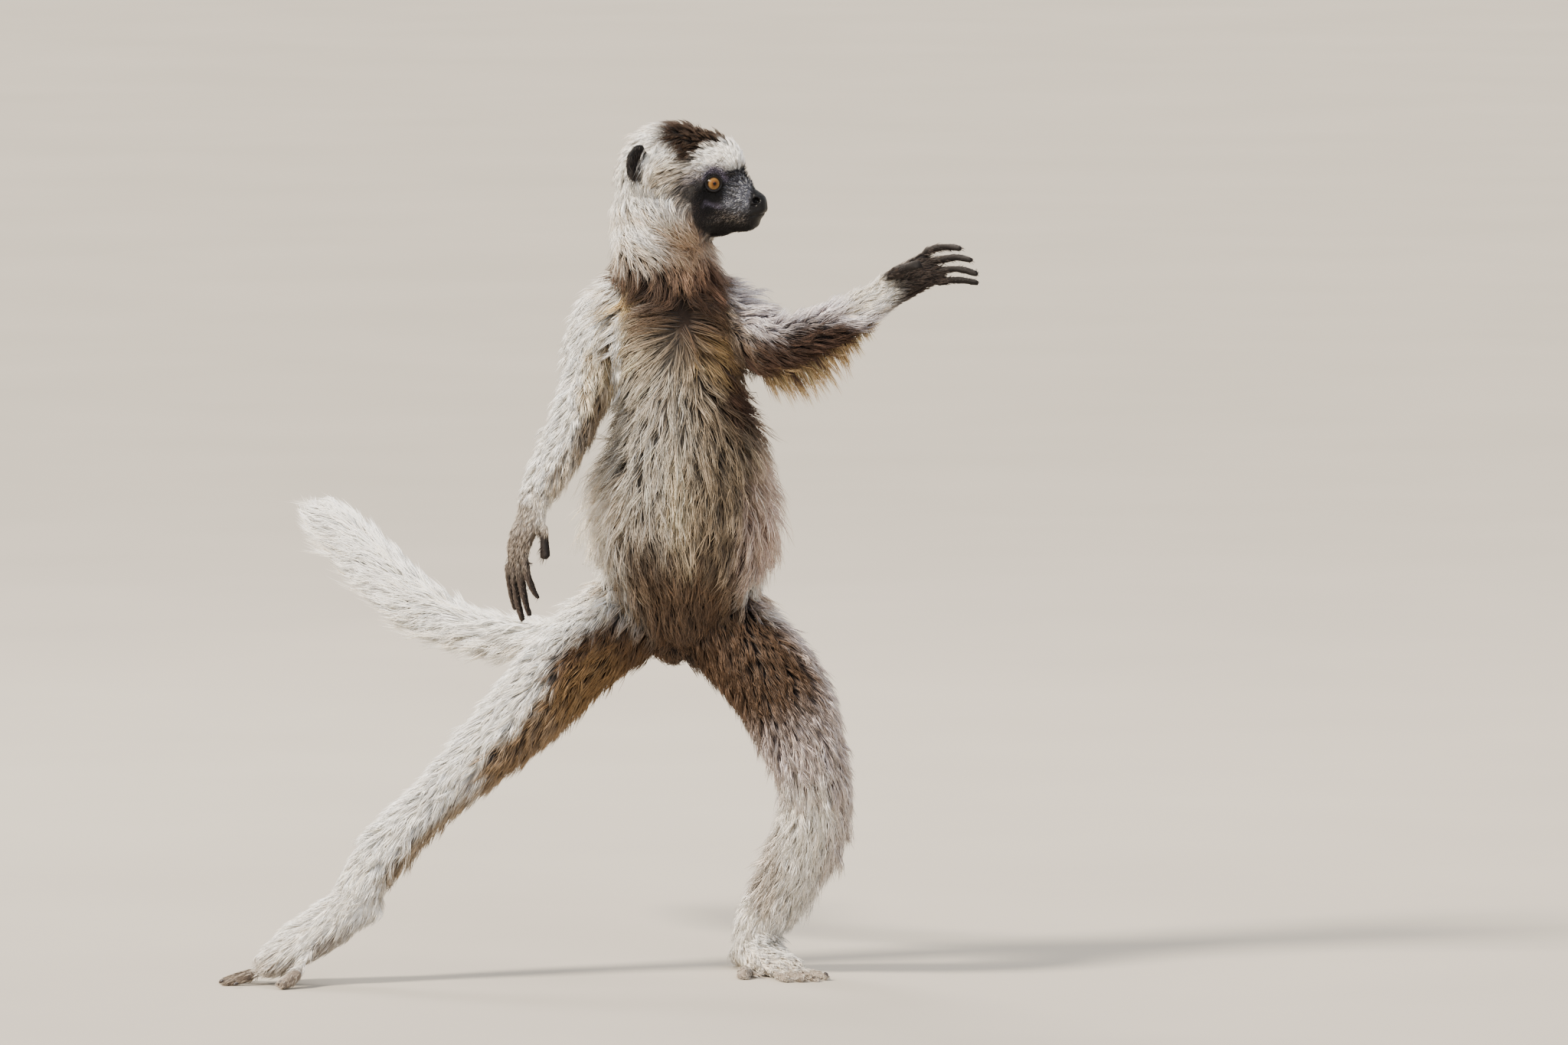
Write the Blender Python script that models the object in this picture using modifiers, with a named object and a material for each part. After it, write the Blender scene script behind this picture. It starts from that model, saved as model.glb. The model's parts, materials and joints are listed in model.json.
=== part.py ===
"""A Verreaux's sifaka in mid step, upright on its hind legs, life size.

The animal steps sideways. Its chest faces -Y, its head turns to +X, its right leg
reaches out to -X and its tail trails back and up to -X. "right" and "left" are the
animal's own: its right side is the -X side.

Each main mass (trunk, head, tail, arms and legs) is lofted along its bones, fused with
a voxel remesh, brought down to a light mesh and parted with thin cuts where a person
would name a new part. The solids reach out to the tips of the coat.
"""

import math
from dataclasses import dataclass

import bmesh
import bpy
from mathutils import Matrix, Vector

NAME = "sifaka"

# Sizes in metres.
GAP = 0.0003            # clear width between touching parts
MOST_SHELL = 3.0        # most that a sharp edge may widen the gap
SOFT_VOXEL = 0.0030     # fineness of the large soft masses
FINE_VOXEL = 0.0009     # fineness of face, ears and digits
TRUNK_MARGIN = 0.012    # how far cuts reach past the lofts, by mass
LIMB_MARGIN = 0.004
DIGIT_MARGIN = 0.0012
TRUNK_TRIANGLES = 760   # of each mass before it is parted
HEAD_TRIANGLES = 1060
TAIL_TRIANGLES = 300
UP = Vector((0.0, 0.0, 1.0))
TO_LEFT = Vector((1.0, 0.0, 0.0))

# A station is x, y, z, half width and half depth of the coat round the bones.
TRUNK = (
    (-0.002, -0.060, 0.612, 0.037, 0.038),
    (0.001, -0.058, 0.593, 0.041, 0.041),
    (0.005, -0.055, 0.577, 0.045, 0.043),
    (0.012, -0.052, 0.556, 0.048, 0.045),
    (0.015, -0.052, 0.533, 0.055, 0.048),
    (0.015, -0.054, 0.505, 0.056, 0.051),
    (0.018, -0.056, 0.474, 0.055, 0.053),
    (0.021, -0.057, 0.449, 0.064, 0.056),
    (0.023, -0.056, 0.424, 0.073, 0.059),
    (0.020, -0.052, 0.392, 0.083, 0.062),
    (0.020, -0.047, 0.360, 0.083, 0.061),
    (0.019, -0.042, 0.335, 0.075, 0.058),
    (0.017, -0.036, 0.309, 0.063, 0.054),
    (0.014, -0.030, 0.289, 0.048, 0.048),
    (0.012, -0.028, 0.276, 0.030, 0.036),
)
RUMP = ((0.008, -0.003, 0.306), (0.046, 0.030, 0.036))
SCROTUM = ((0.013, -0.046, 0.268), (0.009, 0.008, 0.011))

TAIL = (
    (0.005, -0.010, 0.300, 0.017, 0.017),
    (-0.020, 0.026, 0.289, 0.015, 0.015),
    (-0.045, 0.050, 0.281, 0.013, 0.013),
    (-0.088, 0.085, 0.269, 0.013, 0.014),
    (-0.125, 0.118, 0.264, 0.0170, 0.0170),
    (-0.161, 0.150, 0.267, 0.0190, 0.0185),
    (-0.194, 0.180, 0.280, 0.0215, 0.0210),
    (-0.221, 0.208, 0.299, 0.0235, 0.0225),
    (-0.243, 0.232, 0.318, 0.0235, 0.0225),
    (-0.270, 0.262, 0.341, 0.0205, 0.0200),
    (-0.292, 0.285, 0.352, 0.0165, 0.0165),
    (-0.309, 0.300, 0.3545, 0.0120, 0.0120),
)

# Places along the stations where parts meet.
TRUNK_CUT_STATIONS = (2.4, 8.1, 11.4)
TAIL_CUT_STATIONS = (3, 5, 8)
DIGIT_CUT_STATION = 1.8

ARM_RIGHT = (
    (-0.022, -0.048, 0.546, 0.030, 0.028),
    (-0.040, -0.052, 0.541, 0.0285, 0.0275),
    (-0.0515, -0.060, 0.517, 0.0250, 0.0245),
    (-0.0570, -0.070, 0.491, 0.0230, 0.0225),
    (-0.0650, -0.082, 0.468, 0.0215, 0.0215),
    (-0.0745, -0.093, 0.444, 0.0205, 0.0200),
    (-0.0875, -0.103, 0.420, 0.0185, 0.0180),
    (-0.0985, -0.112, 0.401, 0.0150, 0.0140),
    (-0.1020, -0.116, 0.386, 0.0118, 0.0100),
)
ARM_LEFT = (
    (0.036, -0.040, 0.546, 0.029, 0.028),
    (0.055, -0.045, 0.5435, 0.0300, 0.0280),
    (0.077, -0.060, 0.5275, 0.0290, 0.0265),
    (0.095, -0.078, 0.518, 0.027, 0.024),
    (0.125, -0.088, 0.527, 0.024, 0.022),
    (0.156, -0.094, 0.542, 0.020, 0.019),
    (0.175, -0.098, 0.555, 0.0150, 0.0145),
    (0.189, -0.101, 0.565, 0.0125, 0.0100),
)
# Long thin hair that hangs below the raised left arm.
FRINGE_LEFT = (
    (0.086, -0.068, 0.492, 0.017, 0.012),
    (0.112, -0.077, 0.488, 0.023, 0.013),
    (0.136, -0.084, 0.499, 0.022, 0.013),
    (0.157, -0.090, 0.519, 0.016, 0.011),
    (0.170, -0.094, 0.535, 0.010, 0.009),
)
LEG_RIGHT = (
    (-0.018, -0.030, 0.300, 0.040, 0.041),
    (-0.045, -0.038, 0.280, 0.038, 0.040),
    (-0.072, -0.048, 0.257, 0.036, 0.038),
    (-0.100, -0.060, 0.227, 0.034, 0.036),
    (-0.125, -0.072, 0.202, 0.030, 0.031),
    (-0.153, -0.080, 0.175, 0.026, 0.027),
    (-0.180, -0.086, 0.150, 0.0215, 0.024),
    (-0.203, -0.092, 0.129, 0.0215, 0.023),
    (-0.221, -0.097, 0.110, 0.0225, 0.022),
    (-0.236, -0.101, 0.090, 0.0205, 0.020),
    (-0.246, -0.104, 0.072, 0.0175, 0.018),
)
LEG_LEFT = (
    (0.038, -0.028, 0.302, 0.039, 0.041),
    (0.054, -0.036, 0.285, 0.0400, 0.0400),
    (0.076, -0.052, 0.264, 0.0400, 0.0395),
    (0.096, -0.066, 0.241, 0.0395, 0.0380),
    (0.115, -0.082, 0.203, 0.0370, 0.0350),
    (0.1255, -0.084, 0.171, 0.0315, 0.0300),
    (0.1295, -0.074, 0.144, 0.0285, 0.0280),
    (0.1240, -0.062, 0.118, 0.0300, 0.0280),
    (0.1140, -0.050, 0.094, 0.0280, 0.0255),
    (0.1000, -0.036, 0.068, 0.0250, 0.0230),
    (0.0840, -0.022, 0.042, 0.0215, 0.0200),
    (0.0760, -0.012, 0.024, 0.0170, 0.0175),
)

# Feet, heel to ball of the foot. The right heel is raised, the left foot is flat.
FOOT_RIGHT = (
    (-0.232, -0.101, 0.061, 0.0125, 0.0125),
    (-0.250, -0.105, 0.060, 0.0170, 0.0190),
    (-0.272, -0.110, 0.0465, 0.0200, 0.0200),
    (-0.296, -0.113, 0.0310, 0.0220, 0.0180),
    (-0.3175, -0.115, 0.0165, 0.0220, 0.0128),
)
FOOT_LEFT = (
    (0.068, 0.014, 0.0113, 0.0125, 0.0125),
    (0.077, -0.008, 0.0160, 0.0160, 0.0170),
    (0.086, -0.026, 0.0140, 0.0180, 0.0145),
    (0.096, -0.048, 0.0093, 0.0205, 0.0105),
    (0.104, -0.065, 0.0068, 0.0205, 0.0080),
)
# Palms, wrist to knuckles.
PALM_RIGHT = (
    (-0.0985, -0.1150, 0.3900, 0.0120, 0.0105),
    (-0.1060, -0.1165, 0.3780, 0.0138, 0.0092),
    (-0.1115, -0.1175, 0.3650, 0.0142, 0.0082),
    (-0.1145, -0.1180, 0.3530, 0.0142, 0.0068),
)
PALM_LEFT = (
    (0.180, -0.1000, 0.560, 0.0135, 0.0105),
    (0.193, -0.1020, 0.568, 0.0148, 0.0098),
    (0.208, -0.1040, 0.577, 0.0150, 0.0085),
    (0.219, -0.1050, 0.5835, 0.0145, 0.0068),
)
# Thumbs and big toes, which stand apart from the other digits.
THUMB_RIGHT = (
    (-0.0960, -0.1200, 0.3840, 0.0062, 0.0060),
    (-0.0930, -0.1235, 0.3740, 0.0044, 0.0042),
    (-0.0920, -0.1255, 0.3640, 0.0038, 0.0036),
    (-0.0917, -0.1265, 0.3560, 0.0046, 0.0040),
    (-0.0915, -0.1270, 0.3510, 0.0048, 0.0042),
)
THUMB_LEFT = (
    (0.183, -0.1070, 0.5740, 0.0060, 0.0058),
    (0.190, -0.1170, 0.5800, 0.0046, 0.0044),
    (0.199, -0.1245, 0.5845, 0.0040, 0.0038),
    (0.207, -0.1285, 0.5870, 0.0044, 0.0040),
    (0.212, -0.1300, 0.5880, 0.0044, 0.0038),
)
BIG_TOE_RIGHT = (
    (-0.280, -0.120, 0.0330, 0.0085, 0.0085),
    (-0.287, -0.133, 0.0210, 0.0068, 0.0064),
    (-0.294, -0.143, 0.0115, 0.0058, 0.0052),
    (-0.301, -0.150, 0.0060, 0.0060, 0.0052),
    (-0.306, -0.154, 0.0036, 0.0056, 0.0046),
)
BIG_TOE_LEFT = (
    (0.081, -0.034, 0.0105, 0.0085, 0.0085),
    (0.0740, -0.049, 0.0070, 0.0066, 0.0064),
    (0.0705, -0.063, 0.0048, 0.0058, 0.0054),
    (0.0695, -0.076, 0.0040, 0.0060, 0.0050),
    (0.0695, -0.083, 0.0036, 0.0056, 0.0046),
)

# Head, in its own axes: forward, toward the animal's right, up.
HEAD_CENTRE = Vector((0.016, -0.062, 0.653))
HEAD_YAW = math.radians(15.0)
CRANIUM = ((-0.006, 0.000, 0.003), (0.047, 0.0445, 0.0465))
BROW = ((0.021, 0.000, 0.009), (0.0385, 0.0245, 0.0350))
NAPE = ((-0.017, 0.000, -0.028), (0.040, 0.037, 0.036))
CHEEK = ((-0.004, 0.018, -0.030), (0.038, 0.029, 0.032))
FACE = (
    (0.000, 0.000, -0.012, 0.038, 0.034),
    (0.018, 0.000, -0.012, 0.0285, 0.033),
    (0.036, 0.000, -0.0155, 0.0200, 0.0325),
    (0.050, 0.000, -0.0190, 0.0155, 0.0270),
    (0.059, 0.000, -0.0220, 0.0125, 0.0200),
    (0.0650, 0.000, -0.0203, 0.0106, 0.0158),
    (0.0690, 0.000, -0.0203, 0.0096, 0.0116),
)
MUZZLE_CUT = (0.0435, 0.0, -0.020)
MUZZLE_SLOPE = Vector((0.461, 0.0, 0.888))      # the way the cut runs, jaw to brow
NOSE_CUT = (0.0640, 0.0, -0.022)
EYE_RADIUS = 0.0078
EYE_PLACE = (0.0335, 0.0170, -0.0015)
EAR_ROOT = (-0.0175, 0.0395, 0.0145)
EAR_OUT = Vector((-0.60, 0.76, 0.25)).normalized()
EAR_ROOT_NORMAL = Vector((-0.37, 0.88, 0.31)).normalized()
EAR_REACH = 0.0055      # from the ear's root to its middle
EAR_RADII = (0.0130, 0.0165, 0.0056)
EAR_HOLLOW = 0.78       # the ear's hollow, as a share of its size
EAR_HOLLOW_OUT = 0.001
EAR_HOLLOW_FORWARD = 0.0042
EAR_CUT_OUT = 0.0030    # from the ear's root to its cut
EAR_CUT_RADII = (0.018, 0.021)
MUZZLE_CUT_RADII = (0.030, 0.034)
NOSE_CUT_RADII = (0.020, 0.024)
HEAD_MIDDLE = (0.0, 0.0, -0.005)
MUZZLE_MIDDLE = (0.056, 0.0, -0.018)
NOSE_MIDDLE = (0.070, 0.0, -0.021)

# Colours as linear red, green and blue.
WHITE_COAT = (0.78, 0.74, 0.66)
GREY_COAT = (0.36, 0.30, 0.23)
BROWN_COAT = (0.10, 0.06, 0.04)
BLACK_SKIN = (0.018, 0.017, 0.019)
AMBER = (0.50, 0.24, 0.03)


@dataclass(frozen=True)
class Fan:
    """Four long digits that leave a palm or sole side by side.

    rows hold each digit's offset towards the thumb, length, radius, spread and bend
    (degrees). along is the way they point, across the way to the thumb or big toe and
    curl the way that they bend.
    """

    root: tuple
    along: tuple
    across: tuple
    curl: tuple
    rows: tuple


@dataclass(frozen=True)
class Limb:
    """An arm or leg: stations from the trunk outwards, palm or sole, and digits."""

    side: str
    names: tuple            # of the upper length, lower length and end
    digit: str              # what its digits are called
    stations: tuple
    width_axis: Vector      # the way half widths are measured
    core: tuple             # palm or sole
    thumb: tuple
    fan: Fan
    joint: float            # stations where elbow or knee, and wrist or ankle, are cut
    end_joint: float
    extra: tuple = ()       # hair that hangs from it
    joint_margin: float = LIMB_MARGIN
    triangles: int = 610    # that it is lightened to, before it is parted


LIMBS = (
    Limb(
        "right", ("upper_arm", "forearm", "hand"), "finger", ARM_RIGHT, TO_LEFT,
        PALM_RIGHT, THUMB_RIGHT,
        Fan(
            (-0.1140, -0.1180, 0.3510), (-0.04, -0.03, -1.0), (0.52, -0.85, -0.06),
            (0.85, 0.50, -0.10),
            (
                (0.0124, 0.036, 0.0034, 9.0, 42.0),
                (0.0042, 0.050, 0.0035, 3.0, 29.0),
                (-0.0042, 0.054, 0.0035, 0.0, 25.0),
                (-0.0126, 0.046, 0.0034, -3.0, 29.0),
            ),
        ),
        joint=4.4, end_joint=7.2,
    ),
    Limb(
        "left", ("upper_arm", "forearm", "hand"), "finger", ARM_LEFT, UP,
        PALM_LEFT, THUMB_LEFT,
        Fan(
            (0.217, -0.1045, 0.5825), (0.94, -0.10, 0.34), (-0.50, 0.05, 0.86),
            (0.12, -0.78, -0.62),
            (
                (0.0130, 0.038, 0.0034, 6.0, 60.0),
                (0.0042, 0.044, 0.0034, 2.0, 54.0),
                (-0.0042, 0.046, 0.0035, -1.5, 60.0),
                (-0.0126, 0.042, 0.0034, -4.0, 48.0),
            ),
        ),
        joint=3.0, end_joint=6.2, extra=(FRINGE_LEFT,), joint_margin=0.030,
        triangles=690,
    ),
    Limb(
        "right", ("thigh", "shank", "foot"), "toe", LEG_RIGHT, TO_LEFT,
        FOOT_RIGHT, BIG_TOE_RIGHT,
        Fan(
            (-0.314, -0.1150, 0.0125), (-0.95, -0.03, -0.26), (0.10, -0.99, 0.0),
            (0.0, 0.0, -1.0),
            (
                (0.0126, 0.036, 0.0038, 22.0, 6.0),
                (0.0042, 0.041, 0.0039, 9.0, 4.0),
                (-0.0042, 0.044, 0.0039, -2.0, 4.0),
                (-0.0124, 0.042, 0.0038, -11.0, 6.0),
            ),
        ),
        joint=5.0, end_joint=9.2,
    ),
    Limb(
        "left", ("thigh", "shank", "foot"), "toe", LEG_LEFT, TO_LEFT,
        FOOT_LEFT, BIG_TOE_LEFT,
        Fan(
            (0.1035, -0.0640, 0.0048), (0.46, -0.88, -0.03), (-0.88, -0.46, 0.0),
            (0.0, 0.0, -1.0),
            (
                (0.0126, 0.036, 0.0040, 9.0, 2.0),
                (0.0042, 0.041, 0.0040, 3.0, 2.0),
                (-0.0042, 0.043, 0.0040, -3.0, 2.0),
                (-0.0124, 0.038, 0.0039, -10.0, 2.0),
            ),
        ),
        joint=5.0, end_joint=9.6,
    ),
)


def collection(label, hidden=False):
    """Return a new collection linked to the scene."""
    group = bpy.data.collections.new(label)
    bpy.context.scene.collection.children.link(group)
    group.hide_render = hidden
    return group


def clear_scene():
    """Remove every object that the scene starts with."""
    for item in list(bpy.data.objects):
        bpy.data.objects.remove(item)


def mesh_object(label, bm, group):
    """Write bm to a new smooth-shaded mesh object, and free it."""
    bmesh.ops.recalc_face_normals(bm, faces=bm.faces)
    for face in bm.faces:
        face.smooth = True
    mesh = bpy.data.meshes.new(label)
    bm.to_mesh(mesh)
    bm.free()
    item = bpy.data.objects.new(label, mesh)
    group.objects.link(item)
    return item


def spline_row(stations, place):
    """Read the Catmull-Rom curve through the stations at a place such as 2.5."""
    last = len(stations) - 1
    index = min(int(place), last - 1)
    t = place - index
    a, b, c, d = (stations[min(max(index + k, 0), last)] for k in (-1, 0, 1, 2))
    return [
        0.5 * (2 * q + (r - p) * t + (2 * p - 5 * q + 4 * r - s) * t * t
               + (3 * q - p - 3 * r + s) * t ** 3)
        for p, q, r, s in zip(a, b, c, d)
    ]


def section_axes(before, after, width_axis):
    """Return the way along a path and the two axes of its section."""
    along = (Vector(after) - Vector(before)).normalized()
    across = (width_axis - along * width_axis.dot(along)).normalized()
    return along, across, along.cross(across)


def loft(stations, width_axis, segments=24, steps=4, ends=0.75):
    """Loft elliptical sections along the stations, with rounded ends."""
    count = (len(stations) - 1) * steps
    rows = [spline_row(stations, index / steps) for index in range(count + 1)]
    bm = bmesh.new()

    def ring(index, shrink, slide):
        here = rows[index]
        along, across, deep = section_axes(
            rows[max(index - 1, 0)][:3], rows[min(index + 1, count)][:3], width_axis)
        centre = Vector(here[:3]) + along * (ends * min(here[3:]) * slide)
        turns = [2 * math.pi * k / segments for k in range(segments)]
        return [
            bm.verts.new(centre + across * (here[3] * shrink * math.cos(turn))
                         + deep * (here[4] * shrink * math.sin(turn)))
            for turn in turns
        ]

    caps = [math.radians(angle) for angle in (25, 50, 75)]
    rings = [ring(0, math.cos(turn), -math.sin(turn)) for turn in reversed(caps)]
    rings += [ring(index, 1.0, 0.0) for index in range(count + 1)]
    rings += [ring(count, math.cos(turn), math.sin(turn)) for turn in caps]
    for low, high in zip(rings, rings[1:]):
        for k in range(segments):
            after = (k + 1) % segments
            bm.faces.new((low[k], low[after], high[after], high[k]))
    bm.faces.new(rings[0])
    bm.faces.new(rings[-1])
    bmesh.ops.recalc_face_normals(bm, faces=bm.faces)
    return bm


def ball(centre, radii, axes=None, segments=24):
    """Return an ellipsoid with its radii along the columns of axes."""
    bm = bmesh.new()
    bmesh.ops.create_uvsphere(
        bm, u_segments=segments, v_segments=segments * 2 // 3, radius=1.0)
    turn = (axes or Matrix.Identity(3)).to_4x4()
    place = Matrix.Translation(Vector(centre)) @ turn @ Matrix.Diagonal((*radii, 1.0))
    bmesh.ops.transform(bm, matrix=place, verts=bm.verts)
    return bm


def columns(*vectors):
    """Return the matrix whose columns are the given axes."""
    return Matrix(vectors).transposed()


def apply_modifiers(item):
    """Replace an object's mesh with the result of its modifiers."""
    graph = bpy.context.evaluated_depsgraph_get()
    mesh = bpy.data.meshes.new_from_object(item.evaluated_get(graph))
    item.modifiers.clear()
    item.data = mesh


def fuse(label, shapes, group, voxel, smooth):
    """Fuse closed shapes into one body with soft creases."""
    whole = bmesh.new()
    for shape in shapes:
        mesh = bpy.data.meshes.new("shape")
        shape.to_mesh(mesh)
        shape.free()
        whole.from_mesh(mesh)
        bpy.data.meshes.remove(mesh)
    item = mesh_object(label, whole, group)
    remesh = item.modifiers.new("fuse", "REMESH")
    remesh.mode = "VOXEL"
    remesh.voxel_size = voxel
    soften = item.modifiers.new("soften", "SMOOTH")
    soften.factor = 0.5
    soften.iterations = smooth
    apply_modifiers(item)
    return item


def lighten(item, triangles):
    """Bring a body down to about the given number of triangles."""
    decimate = item.modifiers.new("lighten", "DECIMATE")
    decimate.use_collapse_triangulate = True
    decimate.ratio = triangles / (2.0 * len(item.data.polygons))
    apply_modifiers(item)


def taken_mesh(item):
    """Return an object's mesh as a BMesh and remove the object."""
    bm = bmesh.new()
    bm.from_mesh(item.data)
    bpy.data.objects.remove(item)
    return bm


def grown(item, group):
    """Return a copy of a body with its surface moved out by the gap."""
    bm = bmesh.new()
    bm.from_mesh(item.data)
    bm.normal_update()
    offsets = {
        vert: vert.normal * GAP * min(vert.calc_shell_factor(), MOST_SHELL)
        for vert in bm.verts
    }
    for vert, offset in offsets.items():
        vert.co += offset
    copy = mesh_object(item.name + "_grown", bm, group)
    copy.display_type = "WIRE"
    return copy


def subtract(item, cutter):
    """Cut cutter out of item."""
    cut = item.modifiers.new("cut", "BOOLEAN")
    cut.operation = "DIFFERENCE"
    cut.solver = "EXACT"
    cut.object = cutter
    apply_modifiers(item)


def disc(label, centre, axes, radii, group):
    """Return a thin elliptical cutter, its radii and thickness along the axes."""
    bm = bmesh.new()
    bmesh.ops.create_cone(
        bm, cap_ends=True, segments=32, radius1=1.0, radius2=1.0, depth=GAP)
    place = Matrix.Translation(Vector(centre)) @ columns(*axes).to_4x4()
    place = place @ Matrix.Diagonal((*radii, 1.0, 1.0))
    bmesh.ops.transform(bm, matrix=place, verts=bm.verts)
    item = mesh_object(label, bm, group)
    item.display_type = "WIRE"
    return item


def loft_cut(label, stations, place, margin, group, width_axis):
    """Return a thin cutter square to a loft at a place along its stations."""
    last = len(stations) - 1
    before = spline_row(stations, max(place - 0.25, 0.0))[:3]
    after = spline_row(stations, min(place + 0.25, last))[:3]
    along, across, deep = section_axes(before, after, width_axis)
    row = spline_row(stations, place)
    radii = (row[3] + margin, row[4] + margin)
    return disc(label, row[:3], (across, deep, along), radii, group)


def loose_parts(item):
    """Return the closed bodies of a mesh as new BMeshes, largest first."""
    source = bmesh.new()
    source.from_mesh(item.data)
    unseen = set(source.verts)
    parts = []
    while unseen:
        stack = [unseen.pop()]
        found = set(stack)
        while stack:
            for edge in stack.pop().link_edges:
                for vert in edge.verts:
                    if vert in unseen:
                        unseen.discard(vert)
                        found.add(vert)
                        stack.append(vert)
        part = bmesh.new()
        twins = {vert: part.verts.new(vert.co) for vert in found}
        for face in {face for vert in found for face in vert.link_faces}:
            part.faces.new([twins[vert] for vert in face.verts])
        parts.append(part)
    source.free()
    parts.sort(key=lambda part: -abs(part.calc_volume()))
    return parts


def keep_largest(item):
    """Drop every loose body of item but the largest."""
    parts = loose_parts(item)
    parts[0].to_mesh(item.data)
    for part in parts:
        part.free()


def middle_of(part):
    """Return the middle of a mesh's surface."""
    areas = [(face.calc_center_median(), face.calc_area()) for face in part.faces]
    total = sum(area for _, area in areas)
    return sum((centre * area for centre, area in areas), Vector()) / total


def split(item, cutters, anchors, group):
    """Cut item with thin discs, and name each body by the anchor nearest its middle."""
    for cutter in cutters:
        subtract(item, cutter)
    parts = loose_parts(item)
    bpy.data.objects.remove(item)
    nodes = {}
    for part in parts[:len(anchors)]:
        middle = middle_of(part)
        free = [name for name in anchors if name not in nodes]
        name = min(free, key=lambda key: (Vector(anchors[key]) - middle).length)
        nodes[name] = mesh_object(name, part, group)
    return nodes


def anchor(stations, start, end):
    """Return the point of a loft halfway between two places."""
    return Vector(spline_row(stations, (start + end) / 2)[:3])


def digit_stations(fan, row):
    """Return the stations of one long digit of a fan."""
    offset, length, radius, spread, bend = row
    steps = 5
    along = Vector(fan.along).normalized()
    across = Vector(fan.across)
    across = (across - along * across.dot(along)).normalized()
    spread = math.radians(spread)
    heading = along * math.cos(spread) + across * math.sin(spread)
    hinge = heading.cross(Vector(fan.curl)).normalized()
    step_turn = Matrix.Rotation(math.radians(bend) / steps, 3, hinge)
    point = Vector(fan.root) + across * offset
    stations = []
    for step in range(steps + 1):
        size = radius * (1.0 - 0.18 * step / steps)
        stations.append((*point, size, size))
        point = point + heading * (length / steps)
        heading = step_turn @ heading
    return tuple(stations)


def build_limb(limb, trunk_grown, parts, cutters):
    """Build an arm or leg with its digits, and part it."""
    across = Vector(limb.fan.across).normalized()
    names = [f"{name}_{limb.side}" for name in limb.names]
    digits = {f"{limb.digit}_1_{limb.side}": limb.thumb}
    for number, row in enumerate(limb.fan.rows, start=2):
        digits[f"{limb.digit}_{number}_{limb.side}"] = digit_stations(limb.fan, row)
    shapes = [loft(limb.stations, limb.width_axis), loft(limb.core, across)]
    shapes += [loft(extra, limb.width_axis) for extra in limb.extra]
    shapes += [loft(path, across, segments=12) for path in digits.values()]
    item = fuse("whole_" + names[0], shapes, parts, FINE_VOXEL, 4)
    lighten(item, limb.triangles)
    subtract(item, trunk_grown)
    keep_largest(item)
    level_soles(item)
    discs = [
        loft_cut("cut_" + names[1], limb.stations, limb.joint, limb.joint_margin,
                 cutters, limb.width_axis),
        loft_cut("cut_" + names[2], limb.stations, limb.end_joint, LIMB_MARGIN,
                 cutters, limb.width_axis),
    ]
    anchors = {
        names[0]: anchor(limb.stations, 1, limb.joint),
        names[1]: anchor(limb.stations, limb.joint, limb.end_joint),
        names[2]: anchor(limb.core, 0, len(limb.core) - 1),
    }
    for name, path in digits.items():
        discs.append(loft_cut("cut_" + name, path, DIGIT_CUT_STATION, DIGIT_MARGIN, cutters, across))
        anchors[name] = anchor(path, 2, len(path) - 1)
    return split(item, discs, anchors, parts)


def level_soles(item):
    """Cut away what reaches below the floor, so that soles end in small flats."""
    bm = bmesh.new()
    bm.from_mesh(item.data)
    geometry = list(bm.verts) + list(bm.edges) + list(bm.faces)
    cut = bmesh.ops.bisect_plane(
        bm, geom=geometry, plane_co=(0.0, 0.0, 0.0), plane_no=UP, clear_inner=True)
    edges = [part for part in cut["geom_cut"] if isinstance(part, bmesh.types.BMEdge)]
    if edges:
        bmesh.ops.holes_fill(bm, edges=edges, sides=0)
        bmesh.ops.triangulate(bm, faces=bm.faces)
    bm.to_mesh(item.data)
    bm.free()


def build_trunk(parts, cutters):
    """Build the trunk with its neck, and part it into four."""
    shapes = [loft(TRUNK, TO_LEFT, segments=32), ball(*RUMP), ball(*SCROTUM)]
    item = fuse("whole_trunk", shapes, parts, SOFT_VOXEL, 10)
    lighten(item, TRUNK_TRIANGLES)
    outer = grown(item, cutters)
    discs = [
        loft_cut(f"cut_trunk_{number}", TRUNK, place, TRUNK_MARGIN, cutters, TO_LEFT)
        for number, place in enumerate(TRUNK_CUT_STATIONS)
    ]
    places = (0, *TRUNK_CUT_STATIONS, len(TRUNK) - 1)
    anchors = {
        name: anchor(TRUNK, start, end)
        for name, start, end in zip(("neck", "chest", "belly", "hips"), places, places[1:])
    }
    return outer, split(item, discs, anchors, parts)


def build_tail(trunk_grown, parts, cutters):
    """Build the tail in four lengths."""
    item = fuse("whole_tail", [loft(TAIL, UP)], parts, SOFT_VOXEL, 2)
    lighten(item, TAIL_TRIANGLES)
    subtract(item, trunk_grown)
    keep_largest(item)
    places = (0, *TAIL_CUT_STATIONS, len(TAIL) - 1)
    discs = [
        loft_cut(f"cut_tail_{number}", TAIL, place, LIMB_MARGIN, cutters, UP)
        for number, place in enumerate(TAIL_CUT_STATIONS, start=2)
    ]
    anchors = {
        f"tail_{number}": anchor(TAIL, start, end)
        for number, (start, end) in enumerate(zip(places, places[1:]), start=1)
    }
    return split(item, discs, anchors, parts)


def head_matrix():
    """Return the place of the head: columns forward, to its right, up."""
    forward = Vector((math.cos(HEAD_YAW), -math.sin(HEAD_YAW), 0.0))
    right = forward.cross(UP)
    return Matrix.Translation(HEAD_CENTRE) @ columns(forward, right, UP).to_4x4()


def mirrored(vector, sign):
    """Return a head vector with its sideways part times sign."""
    return Vector((vector[0], vector[1] * sign, vector[2]))


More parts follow.
